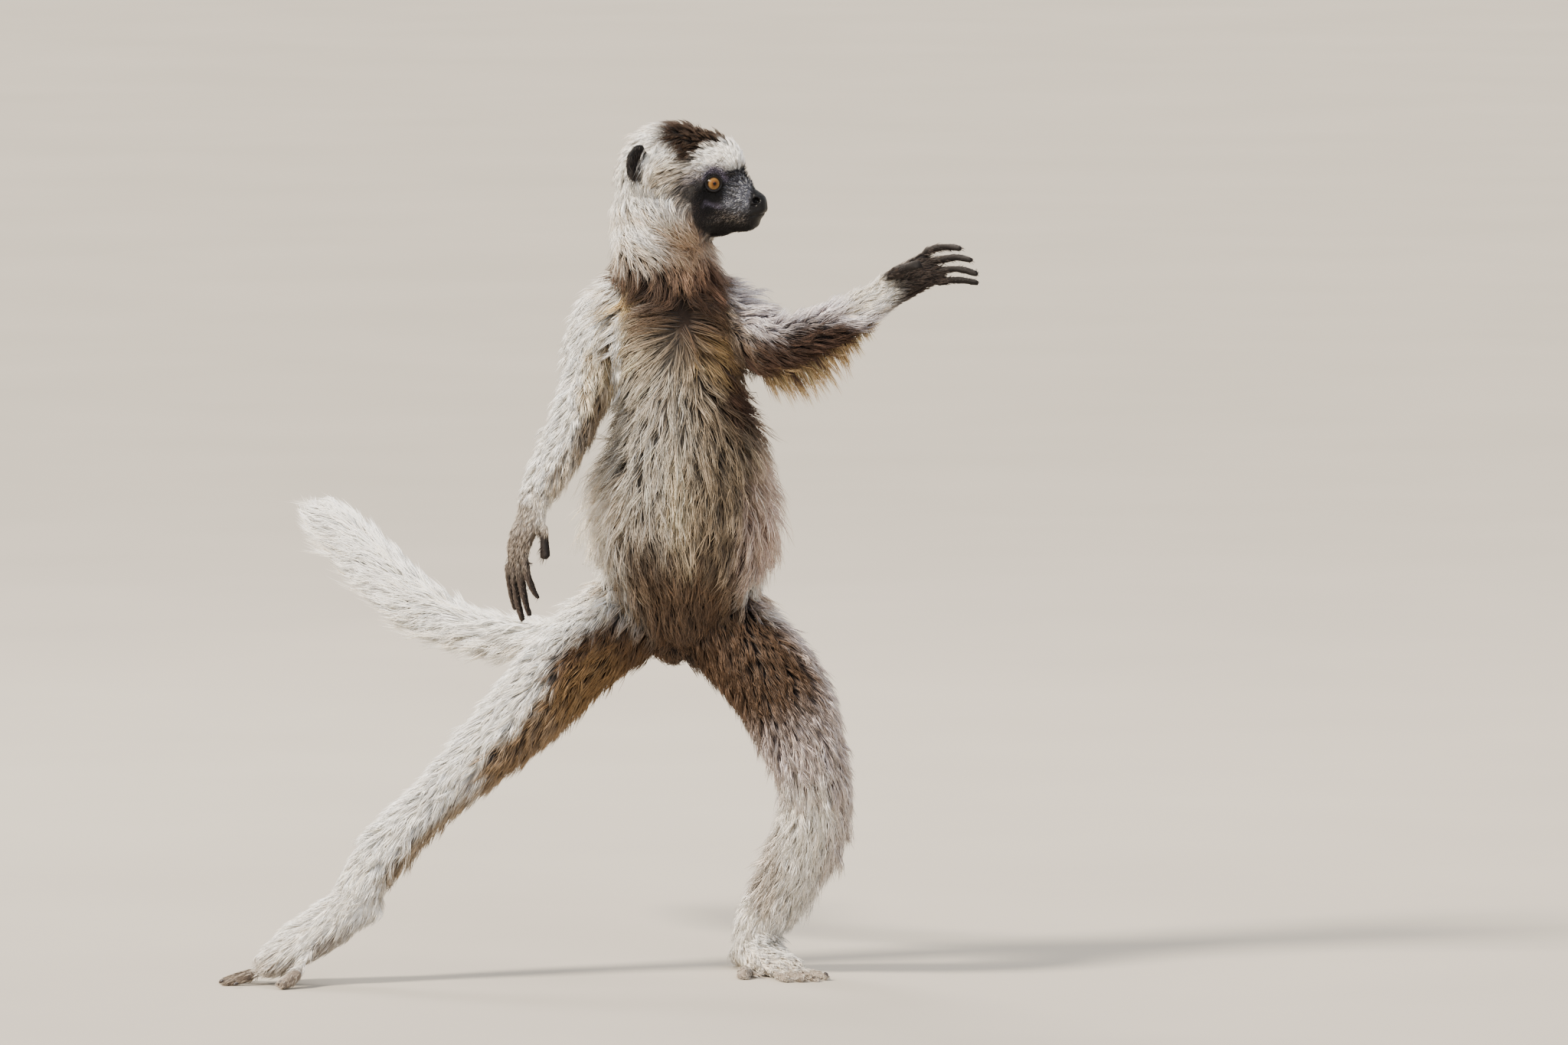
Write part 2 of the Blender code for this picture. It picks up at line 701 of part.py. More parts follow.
def ear_shape(sign, cutters):
    """Return one ear, a thick cup open to the front, in head axes."""
    out = mirrored(EAR_OUT, sign)
    thin = out.cross(UP).normalized() * sign
    axes = columns(out, thin.cross(out).normalized(), thin)
    centre = mirrored(EAR_ROOT, sign) + out * EAR_REACH
    shell = mesh_object("ear_shell", ball(centre, EAR_RADII, axes), cutters)
    hollow_centre = centre + thin * EAR_HOLLOW_FORWARD + out * EAR_HOLLOW_OUT
    radii = [radius * EAR_HOLLOW for radius in EAR_RADII]
    hollow = mesh_object("ear_hollow", ball(hollow_centre, radii, axes), cutters)
    subtract(shell, hollow)
    bpy.data.objects.remove(hollow)
    return taken_mesh(shell)


def build_head(trunk_grown, parts, cutters):
    """Build the head with muzzle, nose, ears and eyes."""
    place = head_matrix()
    turn = place.to_3x3()
    masses = [ball(*CRANIUM), ball(*BROW), ball(*NAPE), loft(FACE, Vector((0, 1, 0)))]
    masses += [ball(mirrored(CHEEK[0], sign), CHEEK[1]) for sign in (1, -1)]
    soft = fuse("soft_head", masses, parts, SOFT_VOXEL, 12)
    shapes = [taken_mesh(soft), loft(FACE[2:], Vector((0, 1, 0)))]
    shapes += [ear_shape(sign, cutters) for sign in (1, -1)]
    for shape in shapes:
        bmesh.ops.transform(shape, matrix=place, verts=shape.verts)
    item = fuse("whole_head", shapes, parts, FINE_VOXEL, 6)
    lighten(item, HEAD_TRIANGLES)
    subtract(item, trunk_grown)
    keep_largest(item)
    forward, right, up = (turn @ Vector(axis) for axis in ((1, 0, 0), (0, 1, 0), (0, 0, 1)))
    slope = turn @ MUZZLE_SLOPE
    discs = [
        disc("cut_muzzle", place @ Vector(MUZZLE_CUT), (right, slope, right.cross(slope)),
             MUZZLE_CUT_RADII, cutters),
        disc("cut_nose", place @ Vector(NOSE_CUT), (right, up, forward),
             NOSE_CUT_RADII, cutters),
    ]
    anchors = {
        "head": place @ Vector(HEAD_MIDDLE),
        "muzzle": place @ Vector(MUZZLE_MIDDLE),
        "nose": place @ Vector(NOSE_MIDDLE),
    }
    eyes = {}
    for side, sign in (("right", 1), ("left", -1)):
        normal = turn @ mirrored(EAR_ROOT_NORMAL, sign)
        across = normal.cross(up).normalized()
        root = place @ mirrored(EAR_ROOT, sign) + normal * EAR_CUT_OUT
        axes = (across, normal.cross(across), normal)
        discs.append(disc("cut_ear_" + side, root, axes, EAR_CUT_RADII, cutters))
        ear_middle = mirrored(EAR_ROOT, sign) + mirrored(EAR_OUT, sign) * 2 * EAR_REACH
        anchors["ear_" + side] = place @ ear_middle
        centre = place @ mirrored(EYE_PLACE, sign)
        socket_radii = (EYE_RADIUS + GAP,) * 3
        socket_ball = ball(centre, socket_radii, turn, segments=16)
        socket = mesh_object("socket_" + side, socket_ball, cutters)
        subtract(item, socket)
        eyeball = ball(centre, (EYE_RADIUS,) * 3, turn, segments=16)
        eyes["eye_" + side] = mesh_object("eye_" + side, eyeball, parts)
    return {**split(item, discs, anchors, parts), **eyes}


def coat_colour(name):
    """Return the main colour of a part."""
    if name.startswith("eye"):
        return AMBER
    if name.startswith(("nose", "muzzle", "finger", "toe", "ear")):
        return BLACK_SKIN
    if name in ("chest", "belly", "hips", "hand_right", "hand_left"):
        return GREY_COAT
    if name == "neck":
        return BROWN_COAT
    return WHITE_COAT


def paint(item):
    """Give a part its own material."""
    material = bpy.data.materials.new(item.name)
    material.use_nodes = True
    shader = material.node_tree.nodes["Principled BSDF"]
    shader.inputs["Base Color"].default_value = (*coat_colour(item.name), 1.0)
    shader.inputs["Roughness"].default_value = 0.15 if item.name.startswith("eye") else 0.85
    shader.inputs["Metallic"].default_value = 0.0
    item.data.materials.clear()
    item.data.materials.append(material)


def centre_on_floor(nodes):
    """Move the parts so that the origin is under the middle of their box."""
    points = [vertex.co for item in nodes for vertex in item.data.vertices]
    low = Vector(min(point[k] for point in points) for k in range(3))
    high = Vector(max(point[k] for point in points) for k in range(3))
    shift = Matrix.Translation((-(low.x + high.x) / 2, -(low.y + high.y) / 2, -low.z))
    for item in nodes:
        item.data.transform(shift)
    return shift


def main():
    """Build every part of the animal."""
    clear_scene()
    parts = collection(NAME)
    cutters = collection("cutters", hidden=True)
    trunk_grown, nodes = build_trunk(parts, cutters)
    nodes.update(build_head(trunk_grown, parts, cutters))
    nodes.update(build_tail(trunk_grown, parts, cutters))
    for limb in LIMBS:
        nodes.update(build_limb(limb, trunk_grown, parts, cutters))
    for item in nodes.values():
        paint(item)
    shift = centre_on_floor(nodes.values())
    for item in cutters.objects:
        item.data.transform(shift)


main()
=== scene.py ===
"""A life-size Verreaux's sifaka in a sideways step: skin, coat, eyes and nails on the part.

The part's solids reach to the tips of the coat. One skin lies inside them by the coat's
depth, and the coat grows on it in locks of solid hair. Both share one set of markings,
with painted shade and light among them.
"""

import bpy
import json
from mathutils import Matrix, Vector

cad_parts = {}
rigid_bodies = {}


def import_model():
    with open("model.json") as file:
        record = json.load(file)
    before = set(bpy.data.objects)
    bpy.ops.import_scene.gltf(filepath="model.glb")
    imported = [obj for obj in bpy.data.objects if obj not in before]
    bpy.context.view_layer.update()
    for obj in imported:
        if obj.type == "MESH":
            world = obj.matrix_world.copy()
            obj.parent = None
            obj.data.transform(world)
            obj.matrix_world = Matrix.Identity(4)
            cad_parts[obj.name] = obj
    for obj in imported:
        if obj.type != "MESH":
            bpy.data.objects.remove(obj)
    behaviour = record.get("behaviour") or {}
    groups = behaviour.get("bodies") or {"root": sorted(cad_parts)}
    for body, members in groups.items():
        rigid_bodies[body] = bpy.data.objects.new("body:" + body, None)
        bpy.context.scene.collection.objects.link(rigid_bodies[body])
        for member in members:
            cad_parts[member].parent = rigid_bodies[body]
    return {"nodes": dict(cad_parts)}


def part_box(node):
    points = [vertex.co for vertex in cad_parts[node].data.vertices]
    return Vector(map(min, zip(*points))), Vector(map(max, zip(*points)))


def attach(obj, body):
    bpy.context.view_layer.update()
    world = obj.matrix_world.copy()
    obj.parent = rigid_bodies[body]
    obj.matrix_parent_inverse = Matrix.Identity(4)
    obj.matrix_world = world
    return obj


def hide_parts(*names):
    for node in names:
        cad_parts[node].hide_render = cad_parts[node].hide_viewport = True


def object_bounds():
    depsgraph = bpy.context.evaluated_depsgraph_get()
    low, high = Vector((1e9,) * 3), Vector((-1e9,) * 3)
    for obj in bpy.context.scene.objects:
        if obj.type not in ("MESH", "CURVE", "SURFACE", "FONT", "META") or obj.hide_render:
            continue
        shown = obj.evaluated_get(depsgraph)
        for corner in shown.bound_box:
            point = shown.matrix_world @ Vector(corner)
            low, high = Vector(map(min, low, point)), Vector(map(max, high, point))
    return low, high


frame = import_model()
CAD_BOX = [list(corner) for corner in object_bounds()]

import json
import logging
import math
from dataclasses import dataclass
from enum import Enum
from typing import Any

import bmesh
import bpy
import numpy as np
from mathutils import Matrix, Vector
from mathutils.bvhtree import BVHTree
from mathutils.kdtree import KDTree

LOG = logging.getLogger("sifaka")
MM = 0.001
UP = Vector((0.0, 0.0, 1.0))
UP_ROW = np.array(UP)

# The head's own axes: forward, toward the animal's right, up. Metres.
HEAD_MIDDLE = Vector((0.016, -0.062, 0.653))
HEAD_YAW = math.radians(15.0)
EYE_PLACE = (0.0335, 0.0170, -0.0015)
EYE_RADIUS = 0.0078
GAZE = Vector((0.50, 0.86, 0.04)).normalized()

Array = np.ndarray
Item = bpy.types.Object
Mesh = bpy.types.Mesh
Tree = bpy.types.NodeTree
Socket = bpy.types.NodeSocket
Triple = tuple[float, float, float]


# ---- small tools


def linear(hex_colour: str) -> Triple:
    """Turn an sRGB hex colour into linear red, green and blue."""
    parts = [int(hex_colour[k:k + 2], 16) / 255 for k in (0, 2, 4)]
    return tuple(p / 12.92 if p <= 0.04045 else ((p + 0.055) / 1.055) ** 2.4 for p in parts)


def tint(hex_colour: str) -> Array:
    """Return an sRGB hex colour as a row of linear numbers."""
    return np.array(linear(hex_colour))


def metres(sizes: Any) -> Array:
    """Turn millimetres into metres."""
    return np.array(sizes, float) / 1000


def bell(gap: Array, width: float) -> Array:
    """Fall softly from 1 where the gap is nothing, over about its width."""
    return np.exp(-(gap / width) ** 2)


def ramp(low: float, high: float, value: Array) -> Array:
    """Rise softly from 0 at low to 1 at high."""
    t = np.clip((value - low) / (high - low), 0.0, 1.0)
    return t * t * (3.0 - 2.0 * t)


def norm(rows: Array) -> Array:
    """Return each row's length."""
    return np.linalg.norm(rows, axis=1)


def unit(rows: Array) -> Array:
    """Scale each row to length one."""
    return rows / np.maximum(np.linalg.norm(rows, axis=-1, keepdims=True), 1e-9)


def mix(first: Array, second: Array, share: Array) -> Array:
    """Blend rows of first toward second by each row's share."""
    return first + (second - first) * share[:, None]


def wobble(points: Array, size: float, seed: float = 0.0) -> Array:
    """Return smooth noise from -1 to 1, the sum of five bent waves in unlike directions.

    Args:
        points: places, one to a row.
        size: the width of its waves in metres.
        seed: picks another pattern.

    Returns:
        One number for each place.
    """
    total = np.zeros(len(points))
    for k in range(1, 6):
        way = np.array([math.sin(k * 1.7 + seed), math.sin(k * 2.9 + seed), math.cos(k * 4.3)])
        bent = np.sin(points @ way[[1, 2, 0]] * (3.1 / size) + k + seed)
        total += np.sin(points @ way * (5.0 / size) + 1.9 * bent + 2.3 * k + seed)
    return total / 3.2


def select_only(item: Item) -> None:
    """Make item the one selected and active object.

    Args:
        item: the object.
    """
    for other in bpy.context.view_layer.objects:
        other.select_set(False)
    item.select_set(True)
    bpy.context.view_layer.objects.active = item


def apply_modifier(item: Item, kind: str, **settings: Any) -> None:
    """Add a modifier with its settings and apply it.

    Args:
        item: the object that it changes.
        kind: Blender's name for the modifier's kind.
        settings: the modifier's settings.
    """
    select_only(item)
    modifier = item.modifiers.new(kind.lower(), kind)
    for key, value in settings.items():
        setattr(modifier, key, value)
    bpy.ops.object.modifier_apply(modifier=modifier.name)


def read(rows: Any, key: str, width: int, kind: type = np.float32) -> Array:
    """Read one property of a mesh's vertices, edges, corners or triangles.

    Args:
        rows: the mesh's elements.
        key: the property's name.
        width: how many numbers each element has.
        kind: the type of the numbers.

    Returns:
        One row for each element.
    """
    values = np.empty(len(rows) * width, kind)
    rows.foreach_get(key, values)
    return values.reshape(-1, width)


def mesh_points(mesh: Mesh) -> Array:
    """Return a mesh's vertex places."""
    return read(mesh.vertices, "co", 3).astype(float)


def mesh_normals(mesh: Mesh) -> Array:
    """Return a mesh's vertex normals."""
    return read(mesh.vertex_normals, "vector", 3).astype(float)


def set_points(mesh: Mesh, points: Array) -> None:
    """Give a mesh's vertices new places."""
    mesh.vertices.foreach_set("co", points.astype(np.float32).ravel())
    mesh.update()


def mesh_edges(mesh: Mesh) -> Array:
    """Return the vertex pairs of a mesh's edges."""
    return read(mesh.edges, "vertices", 2, np.int32)


def mesh_triangles(mesh: Mesh, key: str = "vertices") -> Array:
    """Return the vertices, or the loops, of a mesh's triangles."""
    mesh.calc_loop_triangles()
    return read(mesh.loop_triangles, key, 3, np.int32)


def new_object(name: str, data: bpy.types.ID) -> Item:
    """Put a mesh, lamp or camera in the scene.

    Args:
        name: its name.
        data: its mesh, lamp or camera.

    Returns:
        The object.
    """
    item = bpy.data.objects.new(name, data)
    bpy.context.scene.collection.objects.link(item)
    return item


def unwrap(item: Item, margin: float, **settings: Any) -> None:
    """Lay a piece flat in the one map that it keeps.

    Args:
        item: the piece.
        margin: the gap between islands, as a share of the map.
        settings: the projection's other settings.
    """
    select_only(item)
    layers = item.data.uv_layers
    while layers:
        layers.remove(layers[0])
    layers.new(name="OFBake")
    bpy.ops.object.mode_set(mode="EDIT")
    bpy.ops.mesh.select_all(action="SELECT")
    bpy.ops.uv.smart_project(island_margin=margin, **settings)
    bpy.ops.object.mode_set(mode="OBJECT")


def spread(values: Array, edges: Array, rounds: int) -> Array:
    """Average values over neighbouring vertices.

    Args:
        values: one row for each vertex.
        edges: the vertex pairs of the mesh's edges.
        rounds: how many times neighbours are averaged.

    Returns:
        The softened values.
    """
    rows = values.reshape(len(values), -1).astype(float)
    a, b = edges[:, 0], edges[:, 1]
    count = 1.0 + np.bincount(a, minlength=len(rows)) + np.bincount(b, minlength=len(rows))
    for _ in range(rounds):
        total = rows.copy()
        for k in range(rows.shape[1]):
            total[:, k] += np.bincount(a, rows[b, k], len(rows))
            total[:, k] += np.bincount(b, rows[a, k], len(rows))
        rows = total / count[:, None]
    return rows.reshape(values.shape)


def add_colours(mesh: Mesh, name: str, colours: Array) -> None:
    """Store a linear colour on each vertex.

    Args:
        mesh: the mesh.
        name: the attribute's name.
        colours: one colour for each vertex.
    """
    layer = mesh.color_attributes.new(name, "FLOAT_COLOR", "POINT")
    rows = np.ones((len(colours), 4), np.float32)
    rows[:, :3] = colours
    layer.data.foreach_set("color", rows.ravel())


def add_numbers(mesh: Mesh, name: str, values: Array) -> None:
    """Store a number on each vertex."""
    layer = mesh.attributes.new(name, "FLOAT", "POINT")
    layer.data.foreach_set("value", values.astype(np.float32))


def dress(item: Item, material: bpy.types.Material, slot: str, *nodes: str) -> None:
    """Give a piece its material, hang it on the root body, and hide the CAD nodes that it replaces.

    Args:
        item: the piece.
        material: its one material.
        slot: the record's material slot; not used.
        nodes: CAD nodes that it replaces.
    """
    item.data.materials.clear()
    item.data.materials.append(material)
    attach(item, "root")
    if nodes:
        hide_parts(*nodes)
    faces = len(item.data.polygons)
    LOG.info("%s: %d faces, stands for %d nodes", item.name, faces, len(nodes))


# ---- axes and bones


class BodyAxes:
    """The animal's own axes, found from the place of its right eye in the part."""

    def __init__(self) -> None:
        """Find the shift from the animal's axes to the part's."""
        forward = Vector((math.cos(HEAD_YAW), -math.sin(HEAD_YAW), 0.0))
        self.turn = Matrix((forward, forward.cross(UP), UP)).transposed()
        low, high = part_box("eye_right")
        eye = HEAD_MIDDLE + self.turn @ Vector(EYE_PLACE)
        self.shift = (low + high) / 2 - eye

    def to_body(self, points: Array) -> Array:
        """Return places in the animal's axes."""
        return points - np.array(self.shift)

    def to_head(self, points: Array) -> Array:
        """Return places in the head's axes."""
        return (points - np.array(self.shift + HEAD_MIDDLE)) @ np.array(self.turn)

    def head_way(self, ways: Array) -> Array:
        """Turn directions from the head's axes to the part's."""
        return ways @ np.array(self.turn).T

    def from_head(self, places: Array) -> Array:
        """Return places of the head's axes in the part's."""
        return self.head_way(places) + np.array(self.shift + HEAD_MIDDLE)


# Middles of the limbs and tail, from the trunk outwards, in the animal's axes.
BONES = {
    "arm_right": (
        (-22, -48, 546), (-52, -60, 517), (-65, -82, 468), (-88, -103, 420), (-102, -116, 386),
        (-112, -118, 362), (-114, -118, 300)),
    "arm_left": (
        (36, -40, 546), (77, -60, 528), (95, -78, 518), (125, -88, 527), (156, -94, 542),
        (189, -101, 565), (219, -105, 584), (265, -112, 598)),
    "leg_right": (
        (-18, -30, 300), (-72, -48, 257), (-125, -72, 202), (-180, -86, 150), (-221, -97, 110),
        (-246, -104, 72), (-272, -110, 47), (-318, -115, 17), (-360, -117, 6)),
    "leg_left": (
        (38, -28, 302), (76, -52, 264), (115, -82, 203), (130, -74, 144), (114, -50, 94),
        (84, -22, 42), (76, -12, 24), (96, -48, 10), (120, -95, 5)),
    "tail": (
        (5, -10, 300), (-45, 50, 281), (-125, 118, 264), (-194, 180, 280), (-243, 232, 318),
        (-292, 285, 352), (-330, 315, 358)),
}
ARM_STEMS = ("upper_arm", "forearm", "hand", "finger")
LEG_STEMS = ("thigh", "shank", "foot", "toe")


def bone_of(node: str) -> str:
    """Return the bone that a node grows round, or nothing.

    Args:
        node: the node's name.

    Returns:
        The bone's name.
    """
    side = node.rsplit("_", 1)[-1]
    if node.startswith("tail"):
        return "tail"
    if node.startswith(ARM_STEMS):
        return "arm_" + side
    return "leg_" + side if node.startswith(LEG_STEMS) else ""


def nearest_on_bone(bone: str, places: Array) -> tuple[Array, Array]:
    """Find the closest point of a bone, and the way it runs there.

    Args:
        bone: the bone's name.
        places: places in the animal's axes.

    Returns:
        The closest points, and the bone's direction at each.
    """
    rows = metres(BONES[bone])
    best = np.full(len(places), np.inf)
    points, ways = np.zeros_like(places), np.zeros_like(places)
    for start, end in zip(rows, rows[1:]):
        span = end - start
        t = np.clip((places - start) @ span / (span @ span), 0.0, 1.0)
        on_bone = start + t[:, None] * span
        gap = norm(places - on_bone)
        closer = gap < best
        best[closer] = gap[closer]
        points[closer] = on_bone[closer]
        ways[closer] = span / np.linalg.norm(span)
    return points, ways


# ---- how the coat grows


@dataclass(frozen=True)
class Region:
    """How the coat grows on a part. Sizes are in millimetres.

    depth is how far the skin lies inside the part's outline, density the strands on a
    square millimetre, lift the share of the depth that tips rise to, clump how far
    strands draw together toward a lock's tip.
    """

    depth: float
    length: float
    density: float
    lift: float
    clump: float
    curl: float
    width: float


REGIONS = {name: Region(*sizes) for name, *sizes in (
    ("head", 6.5, 14.0, 0.72, 0.90, 0.25, 0.4, 0.30),
    ("neck", 10.0, 27.0, 0.42, 1.00, 0.50, 2.0, 0.38),
    ("chest", 9.5, 32.0, 0.27, 0.95, 0.50, 1.3, 0.46),
    ("belly", 10.0, 32.0, 0.27, 1.00, 0.55, 2.0, 0.48),
    ("hips", 9.0, 22.0, 0.32, 0.92, 0.55, 2.2, 0.48),
    ("upper_arm", 7.5, 20.0, 0.50, 0.98, 0.25, 0.6, 0.40),
    ("forearm", 6.5, 19.0, 0.52, 0.98, 0.25, 0.5, 0.38),
    ("hand", 1.8, 7.0, 0.75, 0.80, 0.25, 0.2, 0.27),
    ("finger", 0.2, 2.6, 0.30, 0.70, 0.20, 0.1, 0.18),
    ("thigh", 8.5, 24.0, 0.38, 1.00, 0.24, 0.8, 0.46),
    ("shank_left", 7.5, 28.0, 0.44, 1.16, 0.50, 2.0, 0.42),
    ("shank", 7.5, 22.0, 0.44, 1.00, 0.26, 0.8, 0.42),
    ("foot", 3.6, 15.0, 0.50, 1.00, 0.25, 0.4, 0.32),
    ("toe", 0.4, 6.0, 0.75, 1.50, 0.20, 0.2, 0.24),
    ("tail", 7.5, 36.0, 0.44, 0.98, 0.20, 0.5, 0.40),
    ("muzzle", 0.7, 2.0, 0.95, 0.80, 0.10, 0.1, 0.15),
    ("nose", 0.2, 1.0, 0.02, 0.80, 0.10, 0.0, 0.13),
    ("ear", 0.3, 5.0, 0.60, 0.80, 0.20, 0.2, 0.22),
    ("eye", 0.0, 1.0, 0.0, 0.5, 0.0, 0.0, 0.15),
)}


def stem_of(node: str) -> str:
    """Return the region's name for a node."""
    return next(name for name in REGIONS if node.startswith(name))


# Combing directions: a place in millimetres and a way, in the animal's axes and then in the
# head's.
BODY_GUIDES = (
    # throat and the whorl of the upper chest
    (-22, -90, 570, -0.45, 0, -0.88), (12, -95, 572, -0.05, 0, -1),
    (47, -90, 570, 0.5, 0, -0.85), (-6, -100, 552, -1, 0, 0.25), (20, -100, 551, 0, 0, 1),
    (50, -100, 552, 1, 0, 0.2), (-30, -90, 540, -1, 0.1, 0), (-40, -80, 525, -1, 0.2, -0.15),
    (-8, -102, 533, -1, 0, -0.05), (-18, -100, 518, -0.95, 0, -0.35), (50, -102, 533, 1, 0, 0),
    (60, -95, 520, 0.9, 0.1, -0.45), (-2, -105, 516, -0.75, 0, -0.65), (21, -107, 520, 0, 0, -1),
    (40, -105, 516, 0.6, 0, -0.8), (70, -80, 530, 0.95, 0.2, -0.2),
    # ribs
    (-25, -100, 485, -0.45, 0, -0.9), (6, -108, 478, -0.1, 0, -1), (44, -105, 478, 0.25, 0, -1),
    (-31, -100, 441, -0.25, 0, -0.97), (0, -112, 434, -0.1, 0, -1), (31, -112, 434, 0.05, 0, -1),
    (63, -100, 434, 0.25, 0, -0.95),
    # belly, where the hair of both sides meets in a V
    (-40, -90, 409, -0.75, -0.1, -0.5), (-9, -112, 397, 0.1, 0, -1), (16, -116, 397, 0, 0, -1),
    (44, -112, 397, -0.25, 0, -0.97), (72, -100, 397, -0.1, 0, -1),
    (-42, -90, 378, -0.5, 0, -0.8), (-16, -108, 362, 0.45, 0, -0.9),
    (0, -108, 350, 0.45, 0, -0.9), (38, -108, 359, -0.5, 0, -0.85),
    (63, -100, 353, -0.35, 0, -0.93), (16, -106, 340, 0, 0, -1), (-6, -95, 322, 0.4, -0.1, -0.9),
    (25, -95, 315, 0.3, -0.1, -0.9), (50, -90, 322, -0.5, 0, -0.85), (14, -70, 290, 0, 0.1, -1),
    # back and flanks
    (15, -8, 575, 0, 0, -1), (15, 0, 500, 0, 0, -1), (20, 8, 420, 0, 0, -1),
    (20, 12, 360, 0, 0.1, -1), (10, 20, 310, -0.3, 0.4, -0.85), (-40, -50, 480, -0.1, 0, -1),
    (-62, -45, 400, -0.35, -0.1, -0.9), (-60, -40, 350, -0.1, 0, -1), (72, -50, 480, 0.1, 0, -1),
    (100, -50, 400, 0.1, 0, -1), (100, -45, 350, -0.1, 0, -1), (-30, -50, 575, -0.8, 0, -0.6),
    (60, -50, 570, 0.8, 0, -0.5),
    # the neck, where the ruff sweeps round to the throat
    (-12, -100, 623, 1, 0, -0.25), (6, -100, 623, 0.7, 0, -0.65), (23, -100, 616, 0.4, 0, -0.9),
    (-6, -100, 594, 0.85, 0, -0.4), (16, -100, 594, 0.55, 0, -0.8),
    (-28, -80, 606, 0.95, 0, -0.45), (-31, -80, 588, 0.85, 0, -0.6),
    (38, -75, 592, 0.1, -0.2, -1), (10, -18, 600, 0.3, 0, -1),
)
HEAD_GUIDES = (
    (58, 0, -6, -0.85, 0, 0.5), (45, 0, 14, -0.5, 0, 0.85), (36, 14, 22, -0.8, 0.3, 0.45),
    (25, 30, 14, -0.95, 0.15, -0.05), (20, 0, 43, -1, 0, 0.2), (-10, 0, 49, -1, 0, -0.1),
    (-40, 0, 30, -0.6, 0, -0.8), (-50, 0, 0, -0.1, 0, -1), (15, 25, 36, -0.2, 0.5, -0.8),
    (-10, 35, 28, -0.2, 0.4, -0.85), (5, 40, 10, -0.95, 0.1, -0.1), (-18, 44, 0, 0.1, 0.1, -1),
    (12, 38, -8, -0.6, 0.2, -0.7), (5, 42, -22, 0.5, 0.2, -0.8), (-25, 40, -20, 0.85, 0.1, -0.5),
    (-35, 30, -35, 0.95, 0.1, -0.3), (-40, 34, -12, 0.5, 0.1, -0.85),
    (-12, 40, -30, 0.95, 0.1, -0.35), (0, 36, -36, 0.9, 0.1, -0.45), (35, 0, -47, -0.8, 0, -0.5),
    (30, 20, -35, -0.8, 0.1, -0.5), (55, 14, -15, -0.95, 0.1, -0.2),
    (30, 27, -18, -0.85, 0.1, -0.5), (70, 6, -20, -1, 0.1, 0),
)


# ---- markings, with painted shade and light among them


@dataclass(frozen=True)
class Patch:
    """A soft-edged patch of coat colour, or of painted shade or light. Sizes are in millimetres.

    stems are the parts that it may lie on, middle and radii its ellipsoid, root and tip
    its hair's two colours. Where facing is given, it keeps to the skin that faces that
    way by more than turn. speckle is the width of the specks it breaks into.
    """

    stems: str
    middle: Triple
    radii: Triple
    root: str
    tip: str
    strength: float = 1.0
    edge: float = 0.35
    facing: Triple = (0, 0, 0)
    turn: float = 0.0
    speckle: float = 0.0


BASE_COLOURS = {
    "head": ("f8f4ec", "fefdfa"), "neck": ("d3c3ae", "f6efe4"), "chest": ("33271c", "b3a48c"),
    "belly": ("33271d", "b09d82"), "hips": ("e8e1d5", "faf7f0"),
    "upper_arm": ("faf6ee", "fefdfa"), "forearm": ("faf6ee", "fefdfa"),
    "hand": ("17110f", "473a32"), "finger": ("120d0c", "382c27"),
    "thigh": ("fbf8f1", "fefdfa"), "shank_left": ("ece4d8", "fdfbf6"),
    "shank": ("fbf8f1", "fefdfa"), "foot": ("f6f1e8", "fefdf9"), "toe": ("40342b", "a09384"),
    "tail": ("fcfaf4", "fefdfb"), "muzzle": ("060506", "141214"), "nose": ("030303", "090809"),
    "ear": ("0d0a0b", "3a3330"), "eye": ("070606", "070606"),
}
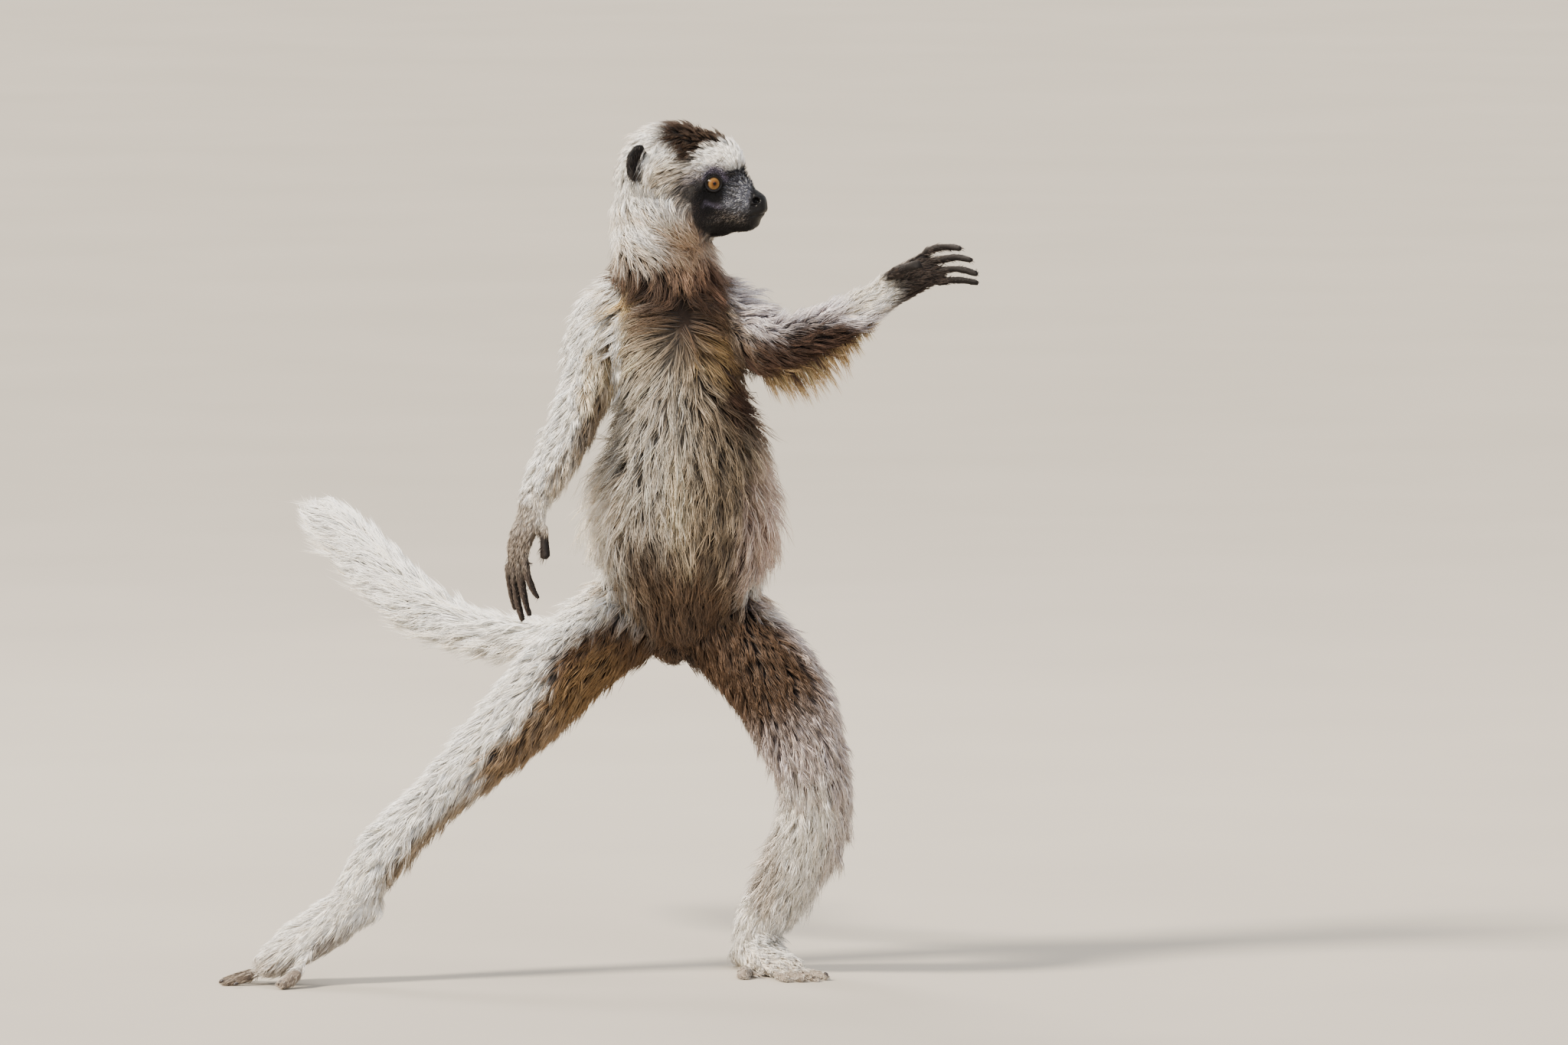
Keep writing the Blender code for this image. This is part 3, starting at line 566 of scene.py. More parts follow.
# A radius that takes in the whole animal.
WIDE = 1000
BODY_PATCHES = tuple(Patch(*row) for row in (
    # trunk
    ("chest belly neck hips", (20, 40, 450), (200, 75, 300), "dcd2c2", "f6f2ea", 1.0, 0.15,
     (0, 1, 0), 0.1),
    # Grey-white on the right half of chest and belly: partly the coat's own grey, partly painted
    # light on the lit side.
    ("chest belly", (-12, -110, 455), (36, 60, 85), "5d5449", "d9d2c6", 0.9, 0.5),
    # Darker brown on the left half of chest and belly: partly the coat's own brown, partly painted
    # shade on the shaded side.
    ("chest belly", (64, -100, 430), (36, 70, 130), "2b2018", "8f7f6a", 0.75, 0.5),
    ("chest", (-22, -90, 525), (32, 50, 22), "6d604f", "dccfb4", 0.9),
    ("chest", (23, -100, 541), (34, 50, 20), "24170f", "5f4730", 0.95),
    ("chest", (47, -100, 520), (22, 50, 12), "4b361f", "c9a66a", 0.8),
    ("belly chest", (16, -120, 400), (7, 60, 50), "9c8766", "efe2c4", 0.8, 0.5),
    ("belly hips", (22, -100, 322), (58, 60, 44), "241811", "6b543d", 1.0, 0.4),
    ("hips", (13, -65, 276), (50, 50, 30), "281b13", "664d36", 1.0, 0.4),
    ("belly", (-17, -110, 360), (22, 50, 22), "1d140e", "5c4a39", 0.85),
    # The right flank's white fur, tinted warm cream: painted light glowing through the hair at its
    # edge.
    ("belly chest", (-50, -70, 392), (27, 80, 52), "ead6ba", "fffaf0", 1.0, 0.3),
    # Painted shade: dark brown at the chest's edge where the right arm meets the trunk.
    ("chest", (-36, -80, 488), (14, 40, 38), "1d140e", "564433", 0.9, 0.4),
    # Mauve on the left flank: white fur coloured with painted shade and a warm painted glow of
    # light from behind.
    ("belly chest", (89, -50, 410), (24, 80, 110), "a98a7c", "ead4c6", 0.9, 0.4),
    ("neck chest", (14, -90, 576), (46, 55, 26), "20140e", "4c382a", 1.0, 0.3),
    ("neck", (40, -75, 600), (22, 40, 30), "4a3024", "9b7662", 0.9),
    ("neck chest", (-33, -50, 585), (20, 50, 15), "2b1a10", "5f432d", 1.0),
    ("neck chest", (-23, -70, 557), (13, 40, 13), "b08c50", "ead2a2", 0.9),
    # Pale mauve-grey on the neck's left side: white fur with painted shade.
    ("neck", (47, -30, 595), (22, 30, 22), "a8969a", "d2c6c6", 0.9),
    ("neck head", (22, -100, 606), (26, 50, 22), "5b4334", "b3927a", 0.85, 0.5),
    ("hips", (13, -46, 268), (14, 14, 14), "0e0b0b", "2a2220"),
    # right arm
    ("upper_arm_right chest", (-52, -80, 492), (15, 60, 32), "d2b482", "f3e3c0", 0.7, 0.4,
     (1, -0.5, 0), 0.25),
    ("upper_arm_right forearm_right", (-48, -80, 450), (26, 60, 48), "2e2119", "8b7a64", 0.95, 0.4,
     (1, -0.3, -0.2), 0.55),
    ("forearm_right hand_right", (-85, -115, 405), (32, 50, 45), "8a7862", "cfc0a8", 0.8, 0.5,
     (0.85, -0.5, -0.2), 0.6),
    ("hand_right", (-100, -118, 392), (35, 40, 18), "cfc6b9", "f4efe6", 0.95, 0.5),
    ("hand_right", (-120, -118, 370), (30, 40, 34), "3a302a", "bfb2a4", 0.8, 0.4, (-1, -0.5, 0.1),
     0.1),
    ("finger", (-120, -118, 325), (30, 50, 45), "3a2e28", "a8988a", 0.7, 0.5, (-1, -0.2, 0.1), 0.2),
    # left arm, pale mauve-grey above, which is white fur with painted shade, and dark brown below
    ("upper_arm_left forearm_left", (100, -70, 550), (WIDE, WIDE, WIDE), "cfc6cb", "eee9ea"),
    ("upper_arm_left forearm_left chest", (80, -80, 492), (40, WIDE, 40), "1b1210", "4d3526", 1.0,
     0.2),
    ("upper_arm_left forearm_left", (135, -90, 512), (52, WIDE, 26), "1b1210", "4d3526", 1.0, 0.2),
    ("upper_arm_left", (48, -80, 512), (24, WIDE, 42), "2b2018", "7d6a55", 0.95, 0.4),
    # The left arm's painted shade, on the chest beside its shoulder.
    ("chest", (66, -70, 552), (12, 60, 18), "cfc6cb", "eee9ea", 0.9, 0.5),
    ("forearm_left hand_left", (165, -100, 562), (26, 50, 18), "d2c9ba", "faf6ee", 1.0, 0.3),
    ("hand_left finger", (215, -100, 615), (80, 50, 30), "443f3e", "948d87", 0.7, 0.4,
     (-0.3, 0.6, 0.9), 0.3),
    # right leg, golden brown below
    ("thigh_right hips", (-40, -60, 262), (55, WIDE, 45), "241811", "6b5138", 1.0, 0.3,
     (0.62, -0.45, -0.74), -0.05),
    ("thigh_right", (-90, -60, 220), (90, WIDE, 75), "33231a", "9a7c55", 0.95, 0.35,
     (0.62, -0.3, -0.74), 0.3),
    ("shank_right", (-175, -80, 140), (90, WIDE, 90), "6b5642", "a08a6a", 0.9, 0.4,
     (0.66, -0.15, -0.74), 0.66),
    ("foot_right", (-290, -110, 20), (70, WIDE, 40), "6f6053", "a89a8a", 0.7, 0.4,
     (0.45, -0.2, -0.85), 0.45),
    ("foot_right", (-335, -120, 12), (40, 60, 22), "7b6d61", "d8cfc3", 0.7, 0.5),
    # left leg, dark brown to the knee, and its white fur elsewhere tinted mauve-grey with painted
    # shade
    ("thigh_left", (100, -70, 250), (WIDE, WIDE, WIDE), "a89793", "ddd2ce"),
    ("thigh_left hips", (70, -90, 296), (78, WIDE, 88), "1f140f", "6b533e", 1.0, 0.3,
     (-0.55, -0.83, -0.1), 0.0),
    # Painted shadow down the inner side of the left leg.
    ("shank_left thigh_left", (95, -60, 100), (12, WIDE, 70), "7c6b60", "b8aba0", 0.6, 0.5,
     (-1, -0.2, -0.2), 0.4),
    # Painted shade on the outer side of the left leg, tinting its white fur mauve-grey.
    ("shank_left thigh_left", (160, -50, 150), (30, WIDE, 100), "a39390", "d3c8c5", 0.8, 0.5,
     (1, 0.1, 0), 0.35),
    ("foot_left", (90, -30, 0), (90, 90, 16), "c3b7a7", "f0e9dd", 0.9),
    ("toe", (100, -75, 6), (60, 60, 20), "7d6f62", "dcd2c5", 0.85),
    ("toe_1_right", (-290, -135, 16), (40, 40, 20), "6b5c50", "cfc4b7", 0.8),
    # tail, a little darker and yellower below, with painted shade on its underside
    ("tail", (-150, 150, 250), (WIDE, WIDE, WIDE), "dccfba", "f6efe2", 0.5, 0.3, (0.2, -0.2, -1),
     0.4),
))
HEAD_PATCHES = tuple(Patch(*row) for row in (
    ("head", (4, 50, 9.5), (19, 50, 13), "80705d", "d8cab2", 0.8, 0.5),
    ("head", (17, 50, -4), (8, 50, 13), "241d1c", "5b524d", 0.9, 0.5),
    ("head neck", (6, 50, -38), (24, 60, 24), "5f4634", "cdb092", 0.85, 0.5),
    ("ear", (-7, 46, 12), (10, 20, 18), "8f8070", "f2eadb", 0.95, 0.2),
    ("head", (-40, 0, 30), (30, 16, 30), "6d5745", "b09a80", 0.5, 0.5),
))
FACE_PATCHES = (
    Patch("head muzzle", (20, 30, -20), (10, 50, 30), "17100f", "54453d", 0.6, 0.5, speckle=3),
    Patch("head muzzle", (54, 12, -10), (15, 50, 14), "50525c", "f0f4ff", 1.0, 0.5, speckle=2.6),
    Patch("head muzzle", (48, 18, -30), (16, 50, 6.5), "211c1b", "b9ada2", 0.7, 0.5, speckle=2.8),
    Patch("head muzzle", (43, 12, 8), (11, 50, 5), "131216", "6f707c", 0.6, 0.5, speckle=2.8),
    Patch("head muzzle nose", (56, 0, 3), (30, 3.5, 30), "0b0b0c", "1d1c20", 0.8),
    Patch("head muzzle", (33, 17, -5), (13, 22, 16.8), "030203", "060506", 1.0, 0.22),
    Patch("head muzzle nose", (50, 0, -47), (35, 40, 14), "070505", "120e0d", 0.95),
)
# In the head's axes, in millimetres: the two ends of the pale crease below the eye, forward
# and up, and the height of the cap's lower edge at places forward.
CREASE = ((27.4, -15.6), (41.1, -20.8))
CAP_EDGE = ((-4, 34), (7, 27), (15, 17), (21, 14), (26, 24), (32, 28.5), (40, 28.5), (55, 30))
# In metres: the face's hind edge, which curves back above and below its middle, its sloping
# top edge, and the bare bulge between the legs.
FACE_START, FACE_CURVES, FACE_MIDDLE = 0.0185, (22.0, 11.0), -0.012
FACE_TOP, FACE_TOP_SLOPE, FACE_TOP_START = 0.0135, -0.12, 0.030
BARE_PLACE, BARE_WIDTH = (0.013, -0.050, 0.266), 0.015
# Softness of these edges, and the size and height of their tufts.
CAP_BLUR, CAP_TUFT, CAP_START = 0.0014, (0.005, 0.0010), (-0.010, -0.004)
FACE_BLUR, FACE_TUFT, FACE_TOP_BLUR = 0.0022, (0.006, 0.0012), 0.0014
CREASE_WIDTH = (0.0017, 0.0006)


def cap_share(head: Array) -> Array:
    """Return how far each place of the head lies in the dark cap, 0 to 1.

    Args:
        head: places in the head's axes.

    Returns:
        One number for each place.
    """
    forward, _, up = head.T
    edge = np.interp(forward, *metres(CAP_EDGE).T)
    ragged = wobble(head, CAP_TUFT[0], 3.0) * CAP_TUFT[1]
    inside = ramp(-CAP_BLUR, CAP_BLUR, up - edge + ragged)
    return inside * ramp(*CAP_START, forward + 2.0 * ragged)


def face_share(head: Array) -> Array:
    """Return how far each place of the head lies on the short-haired face, 0 to 1.

    Args:
        head: places in the head's axes.

    Returns:
        One number for each place.
    """
    forward, _, up = head.T
    low = up - FACE_MIDDLE
    back = FACE_START + np.where(low > 0.0, *FACE_CURVES) * low * low
    ragged = wobble(head, FACE_TUFT[0]) * FACE_TUFT[1]
    inside = ramp(-FACE_BLUR, FACE_BLUR, forward - back + ragged)
    over = up - FACE_TOP - FACE_TOP_SLOPE * (forward - FACE_TOP_START) + ragged
    return inside * ramp(FACE_TOP_BLUR, -FACE_TOP_BLUR, over)


def crease_share(head: Array) -> Array:
    """Return how near each place lies to the pale crease below the eye, 0 to 1.

    Args:
        head: places in the head's axes.

    Returns:
        One number for each place.
    """
    start, end = metres(CREASE)
    span = end - start
    flat = head[:, (0, 2)]
    along = np.clip((flat - start) @ span / (span @ span), 0.0, 1.0)
    gap = norm(flat - start - along[:, None] * span)
    return ramp(*CREASE_WIDTH, gap)


def right_side(head: Array) -> Array:
    """Return places of the head brought to its right side."""
    return np.stack((head[:, 0], np.abs(head[:, 1]), head[:, 2]), 1)


def bare_share(body: Array) -> Array:
    """Return how near each place lies to the small bare bulge between the legs, 0 to 1."""
    return np.exp(-((body - BARE_PLACE) ** 2).sum(1) / BARE_WIDTH ** 2)


# ---- skin


@dataclass(frozen=True)
class Dent:
    """A soft dent of the nose's right half, or a swelling where its height is above nothing.

    Sizes are in millimetres, in the head's axes. heart is the share of the radii within
    which it has its full height.
    """

    middle: Triple
    radii: Triple
    height: float
    heart: float

    def away(self, head: Array) -> Array:
        """Return each place's distance from the middle, as a share of the radii."""
        gap = (right_side(head) - metres(self.middle)) / metres(self.radii)
        return norm(gap)

    def push(self, head: Array) -> Array:
        """Return how far each place moves out."""
        return self.height * MM * ramp(1.0, self.heart, self.away(head))


class Face:
    """Lids, folds, nostrils and mouth, shaped on the head's right side in its own axes."""

    NOSTRIL = Dent((68.6, 8.0, -15.0), (4.0, 3.6, 3.2), -3.4, 0.30)
    SLIT = Dent((66.8, 9.2, -19.2), (3.0, 4.0, 1.4), -1.3, 0.30)
    WING = Dent((70.0, 8.0, -10.5), (5.0, 4.0, 3.0), 0.9, 0.20)
    # The mouth's line, forward and up, and how fast it rises toward the nose.
    MOUTH_START, MOUTH_RISE = (0.030, -0.0366), 0.0105 / 0.044
    MOUTH_DEPTH, MOUTH_WIDTH = 0.0005, 0.0007
    LIP_PLACE, LIP_HEIGHT, LIP_WIDTH = 0.0030, 0.0005, 0.0022
    GROOVE_DEPTH, GROOVE_WIDTH = 0.0007, 0.0008
    # The rim where the bare nose starts, which leans forward as it rises.
    RIM_PLACE, RIM_LEAN, RIM_DEPTH, RIM_WIDTH = 0.0645, 0.10, 0.0002, 0.0008
    RIM_MIDDLE, BRIDGE_PLACE, BRIDGE_DEPTH, BRIDGE_WIDTH = -0.02, 0.010, 0.0026, 0.009
    # Where these shapes fade in along the head, and in height.
    MOUTH_REACH, GROOVE_REACH, BRIDGE_REACH = (0.026, 0.033), (0.066, 0.069), (0.046, 0.056)
    GROOVE_RISE, RIM_RISE = (-0.014, -0.018), (-0.032, -0.029)
    # Half angles of the lids' opening, across and up.
    LID_OPEN = (math.radians(47.0), math.radians(41.0))
    # The lids' height over the eyeball in millimetres, at shares of the opening's half angle.
    LID_SHARES = (0.0, 0.90, 1.02, 1.14, 1.45, 1.75)
    LID_HEIGHTS = (-1.6, -1.4, 0.2, 1.2, 0.9, 0.9)
    LID_END, LID_REACH = (1.95, 1.45), 0.022
    # Folds above and below: the share of the opening, the width and the depth of each.
    UPPER_FOLD, LOWER_FOLD = (1.42, 0.055, 0.0006), (1.60, 0.06, 0.0007)
    EYE_REACH, FAR = 0.014, 9.0

    def shape(self, head: Array, normals: Array) -> Array:
        """Shape nose, mouth and lids at places of the right side, along their normals."""
        return self.lids(head + self.nose_and_mouth(head)[:, None] * normals)

    def nose_and_mouth(self, head: Array) -> Array:
        """Sink nostrils and mouth and raise the pads beside them.

        Args:
            head: places in the head's axes, all on the right side.

        Returns:
            How far each place moves out along its normal.
        """
        forward, right, up = head.T
        push = self.NOSTRIL.push(head) + self.SLIT.push(head) + self.WING.push(head)
        above = up - self.MOUTH_START[1] - (forward - self.MOUTH_START[0]) * self.MOUTH_RISE
        along = ramp(*self.MOUTH_REACH, forward)
        push -= self.MOUTH_DEPTH * along * bell(above, self.MOUTH_WIDTH)
        push += self.LIP_HEIGHT * along * bell(above - self.LIP_PLACE, self.LIP_WIDTH)
        groove = bell(right, self.GROOVE_WIDTH) * ramp(*self.GROOVE_REACH, forward)
        push -= self.GROOVE_DEPTH * groove * ramp(*self.GROOVE_RISE, up)
        rim = forward - self.RIM_PLACE - self.RIM_LEAN * (up - self.RIM_MIDDLE)
        push -= self.RIM_DEPTH * bell(rim, self.RIM_WIDTH) * ramp(*self.RIM_RISE, up)
        bridge = bell(up - self.BRIDGE_PLACE, self.BRIDGE_WIDTH)
        return push - self.BRIDGE_DEPTH * (bridge * ramp(*self.BRIDGE_REACH, forward))

    def lids(self, head: Array) -> Array:
        """Wrap lids round the eyeballs, with folds above and below.

        Args:
            head: places in the head's axes, all on the right side.

        Returns:
            The new places.
        """
        out = head - np.array(EYE_PLACE)
        reach = norm(out)
        gaze = np.array(GAZE)
        level = unit(np.cross(gaze, UP_ROW))
        above = out @ np.cross(level, gaze)
        angle = np.arccos(np.clip(out @ gaze / np.maximum(reach, 1e-9), -1.0, 1.0))
        turn = np.arctan2(above, out @ level)
        wide, tall = self.LID_OPEN
        share = angle / (wide * tall / np.hypot(tall * np.cos(turn), wide * np.sin(turn)))
        target = EYE_RADIUS + np.interp(share, self.LID_SHARES, metres(self.LID_HEIGHTS))
        for (place, width, depth), here in ((self.UPPER_FOLD, above > -0.001),
                                            (self.LOWER_FOLD, ramp(0.0, -0.004, above))):
            target -= bell(share - place, width) * depth * here
        blend = ramp(*self.LID_END, share) * (reach <= self.LID_REACH)
        new_reach = reach + (target - reach) * blend
        return np.array(EYE_PLACE) + out * (new_reach / np.maximum(reach, 1e-9))[:, None]

    def eye_angle(self, head: Array) -> Array:
        """Return each place's angle from the gaze, as a share of the lids' opening.

        Args:
            head: places in the head's axes.

        Returns:
            One number for each place.
        """
        out = right_side(head) - np.array(EYE_PLACE)
        reach = norm(out)
        angle = np.arccos(np.clip(out @ np.array(GAZE) / np.maximum(reach, 1e-9), -1.0, 1.0))
        return np.where(reach < self.EYE_REACH, angle / self.LID_OPEN[0], self.FAR)


@dataclass
class Pelt:
    """What the coat needs to know at each vertex of the skin."""

    node: Array
    depth: Array
    length: Array
    density: Array
    lift: Array
    clump: Array
    curl: Array
    width: Array
    way: Array
    root: Array
    tip: Array
    hang: Array


class Skin:
    """One skin for the whole animal, drawn inside the part by the coat's depth."""

    # The fineness of fused meshes, and how far nodes grow, so that cuts between them close.
    VOXEL, CLOSE = 0.0014, 0.0003
    TAIL_HEART, TAIL_END = (-0.262, 0.254, 0.336), (-0.262, -0.318)
    RAISED_ARM = ("upper_arm_left", "forearm_left")
    # Flesh of the raised arm: its distance from the bone at places along, from the shoulder.
    ARM_ALONG, ARM_FLESH = (0.06, 0.10, 0.19), (0.0205, 0.0150, 0.0100)
    FACE_DEPTH, BROW_REACH, BROW_RISE = 0.0007, (0.014, 0.022), (0.045, 0.02)
    # Shares of the coat's depth that are taken off or put on, and of the tail's end drawn in.
    BROW_LESS, BARE_LESS, FINGER_LESS, FLANK_MORE, TAIL_PULL = 0.55, 0.85, 0.9, 1.2, 0.50
    # Digits are filled to this far inside the part, by no more than the second.
    DIGIT_INSIDE, DIGIT_MOST = 0.0002, 0.0018
    FURRED_FACES = 0.30
    # Rounds of cutting finer: how near the eye, and how far forward, each starts.
    FINER = ((0.0160, 0.050), (0.0125, 0.0640))
    MUZZLE_HALF, FINER_REACH, HEAD_REACH = 0.04, 0.09, 0.095

    def __init__(self, axes: BodyAxes) -> None:
        """Gather the nodes that the skin stands for.

        Args:
            axes: the animal's axes.
        """
        self.axes = axes
        eyes = ["eye_left", "eye_right"]
        self.nodes = sorted(name for name in frame["nodes"] if name not in eyes)
        self.names = self.nodes + eyes

    def build(self) -> Item:
        """Make the skin's mesh.

        Returns:
            The skin.
        """
        points, faces, self.part_owner = self.gather()
        self.part_tree = BVHTree.FromPolygons(points.tolist(), faces.tolist())
        self.item = self.remeshed("skin", points, faces)
        mesh = self.item.data
        self.hull_tree = BVHTree.FromPolygons(
            mesh_points(mesh).tolist(), mesh_triangles(mesh).tolist())
        self.shrink()
        apply_modifier(self.item, "REMESH", mode="VOXEL", voxel_size=self.VOXEL)
        apply_modifier(self.item, "SMOOTH", factor=0.5, iterations=4)
        self.keep_one_body()
        self.fill_digits()
        self.thin_out()
        self.refine()
        self.sculpt_head()
        self.item.data.shade_smooth()
        return self.item

    def gather(self) -> tuple[Array, Array, Array]:
        """Join all nodes, each grown a little.

        Returns:
            Places, triangles, and the number of each triangle's node.
        """
        points, faces, owners, start = [], [], [], 0
        for number, name in enumerate(self.names):
            bm = bmesh.new()
            bm.from_mesh(frame["nodes"][name].data)
            bmesh.ops.remove_doubles(bm, verts=bm.verts, dist=1e-6)
            bm.normal_update()
            points += [tuple(v.co + v.normal * self.CLOSE) for v in bm.verts]
            bm.verts.index_update()
            for face in bm.faces:
                faces.append([v.index + start for v in face.verts])
                owners.append(number)
            start += len(bm.verts)
            bm.free()
        return np.array(points), np.array(faces), np.array(owners)

    def remeshed(self, name: str, points: Array, faces: Array) -> Item:
        """Fuse loose bodies into one closed mesh.

        Args:
            name: the new object's name.
            points: vertex places.
            faces: triangles.

        Returns:
            The fused object.
        """
        mesh = bpy.data.meshes.new(name)
        mesh.from_pydata(points.tolist(), [], faces.tolist())
        item = new_object(name, mesh)
        apply_modifier(item, "REMESH", mode="VOXEL", voxel_size=self.VOXEL)
        apply_modifier(item, "SMOOTH", factor=0.5, iterations=3)
        return item

    def numbers(self, *stems: str) -> list[int]:
        """Return the numbers of nodes whose names start with a stem."""
        return [k for k, name in enumerate(self.names) if name.startswith(stems)]

    def survey(self) -> "Survey":
        """Return the skin's vertices as they now are.

        Returns:
            The survey.
        """
        mesh = self.item.data
        points = mesh_points(mesh)
        found = [self.part_tree.find_nearest(Vector(point))[2] for point in points]
        return Survey(self, points, mesh_normals(mesh), mesh_edges(mesh),
                      self.part_owner[np.array(found)], self.axes.to_body(points),
                      self.axes.to_head(points))

    def shrink(self) -> None:
        """Draw the surface in by the depth of the coat."""
        seen = self.survey()
        head, body = seen.head, seen.body
        depth = seen.region("depth") * MM
        on_head = seen.on("head", "muzzle", "nose", "eye")
        face = face_share(head) * on_head
        brow = on_head * ramp(*self.BROW_REACH, head[:, 0]) * ramp(*self.BROW_RISE, head[:, 2])
        depth = depth * (1.0 - self.BROW_LESS * brow)
        depth = depth * (1.0 - face) + self.FACE_DEPTH * face
        depth = depth * (1.0 + self.FLANK_MORE * seen.flank_share())
        depth = depth * (1.0 - self.BARE_LESS * bare_share(body))
        depth = spread(depth, seen.edges, 8)
        depth = depth * (1.0 - self.FINGER_LESS * seen.finger_share())
        on_bone, _ = nearest_on_bone("arm_left", body)
        out = body - on_bone
        far = norm(out)
        flesh = np.interp(body[:, 0], self.ARM_ALONG, self.ARM_FLESH)
        pull = seen.on(*self.RAISED_ARM) & (far > flesh)
        points = seen.points - seen.normals * depth[:, None]
        points[pull] = (on_bone + out / far[:, None] * flesh[:, None])[pull] + self.axes.shift
        tail_end = seen.on("tail") * ramp(*self.TAIL_END, body[:, 0])
        heart = np.array(self.TAIL_HEART) + np.array(self.axes.shift)
        set_points(self.item.data, mix(points, heart[None], self.TAIL_PULL * tail_end))

    def keep_one_body(self) -> None:
        """Drop crumbs that the fusing left loose."""
        bm = bmesh.new()
        bm.from_mesh(self.item.data)
        unseen = set(bm.verts)
        best: set = set()
        while unseen:
            stack = [unseen.pop()]
            found = set(stack)
            while stack:
                for edge in stack.pop().link_edges:
                    other = edge.verts[0] if edge.verts[1] in found else edge.verts[1]
                    if other not in found:
                        found.add(other)
                        stack.append(other)
            unseen -= found
            best = max(best, found, key=len)
        bmesh.ops.delete(bm, geom=[v for v in bm.verts if v not in best], context="VERTS")
        bm.to_mesh(self.item.data)
        bm.free()

    def fill_digits(self) -> None:
        """Give fingers and toes back the girth that smoothing took."""
        seen = self.survey()
        digit = seen.on("toe") | (seen.finger_share() > 0.4)
        gap = np.zeros(len(seen.points))
        for row in np.flatnonzero(digit):
            gap[row] = self.part_tree.find_nearest(Vector(seen.points[row]))[3]
        gap = np.where(digit, np.clip(gap - self.DIGIT_INSIDE, 0.0, self.DIGIT_MOST), 0.0)
        gap = spread(gap, seen.edges, 2)
        set_points(self.item.data, seen.points + seen.normals * gap[:, None])

    def thin_out(self) -> None:
        """Use fewer faces where long hair hides the skin."""
        seen = self.survey()
        fine = seen.on("finger", "toe", "ear", "muzzle", "nose")
        fine |= seen.on("head", "eye") & (face_share(seen.head) > 0.02)
        group = self.item.vertex_groups.new(name="furred")
        group.add(np.flatnonzero(~fine).tolist(), 1.0, "REPLACE")
        apply_modifier(self.item, "DECIMATE", ratio=self.FURRED_FACES, vertex_group="furred",
                       use_collapse_triangulate=True)
        self.item.vertex_groups.clear()

    def refine(self) -> None:
        """Cut the face's mesh finer: eyes and nose finest."""
        for eye_reach, muzzle_start in self.FINER:
            bm = bmesh.new()
            bm.from_mesh(self.item.data)
            bm.verts.ensure_lookup_table()
            head = self.axes.to_head(mesh_points(self.item.data))
            near = norm(right_side(head) - np.array(EYE_PLACE)) < eye_reach
            near |= (head[:, 0] > muzzle_start) & (np.abs(head[:, 1]) < self.MUZZLE_HALF)
            near &= norm(head) < self.FINER_REACH
            edges = [e for e in bm.edges if near[e.verts[0].index] and near[e.verts[1].index]]
            bmesh.ops.subdivide_edges(bm, edges=edges, cuts=1, use_grid_fill=True, smooth=0.0)
            bmesh.ops.triangulate(bm, faces=bm.faces)
            bm.to_mesh(self.item.data)
            bm.free()

    def sculpt_head(self) -> None:
        """Shape the face, and keep the skin within the part's box."""
        mesh = self.item.data
        points, normals = mesh_points(mesh), mesh_normals(mesh)
        head = self.axes.to_head(points)
        near = norm(head) < self.HEAD_REACH
        side = np.ones((near.sum(), 3))
        side[:, 1] = np.where(head[near, 1] >= 0, 1.0, -1.0)
        facing = normals[near] @ np.array(self.axes.turn) * side
        points[near] = self.axes.from_head(Face().shape(head[near] * side, facing) * side)
        set_points(mesh, np.clip(points, CAD_BOX[0], CAD_BOX[1]))


@dataclass
class Survey:
    """The skin's vertices, seen in the part's, the animal's and the head's axes."""

    # Where fingers fade out up the hand, and flanks in height and as they turn to the side.
    FINGER_FADE = (0.012, 0.005)
    FLANK_TOP, FLANK_END, FLANK_TURN = (0.50, 0.46), (0.305, 0.330), (0.45, 0.85)

    skin: Skin
    points: Array
    normals: Array
    edges: Array
    node: Array
    body: Array
    head: Array

    def on(self, *stems: str) -> Array:
        """Return which vertices lie on nodes whose names start with a stem."""
        return np.isin(self.node, self.skin.numbers(*stems))

    def region(self, key: str) -> Array:
        """Return one value of the region that each vertex lies on."""
        rows = [getattr(REGIONS[stem_of(name)], key) for name in self.skin.names]
        return np.array(rows)[self.node]

    def finger_share(self) -> Array:
        """Return 1 on the fingers, falling to 0 a little way up the hand.

        Returns:
            One number for each vertex.
        """
        finger = self.on("finger")
        rows = np.flatnonzero(finger)
        tree = KDTree(len(rows))
        for row in rows:
            tree.insert(Vector(self.points[row]), int(row))
        tree.balance()
        share = finger.astype(float)
        for row in np.flatnonzero(self.on("hand")):
            share[row] = tree.find(Vector(self.points[row]))[2]
        hand = ~finger & (share > 0.0)
        share[hand] = ramp(*self.FINGER_FADE, share[hand])
        return share

    def flank_share(self) -> Array:
        """Return how far each place lies on the flanks, where the coat stands off.

        Returns:
            One number for each vertex.
        """
        up, side = self.body[:, 2], np.abs(self.normals[:, 0])
        share = self.on("belly", "chest") * ramp(*self.FLANK_TOP, up)
        return share * ramp(*self.FLANK_END, up) * ramp(*self.FLANK_TURN, side)


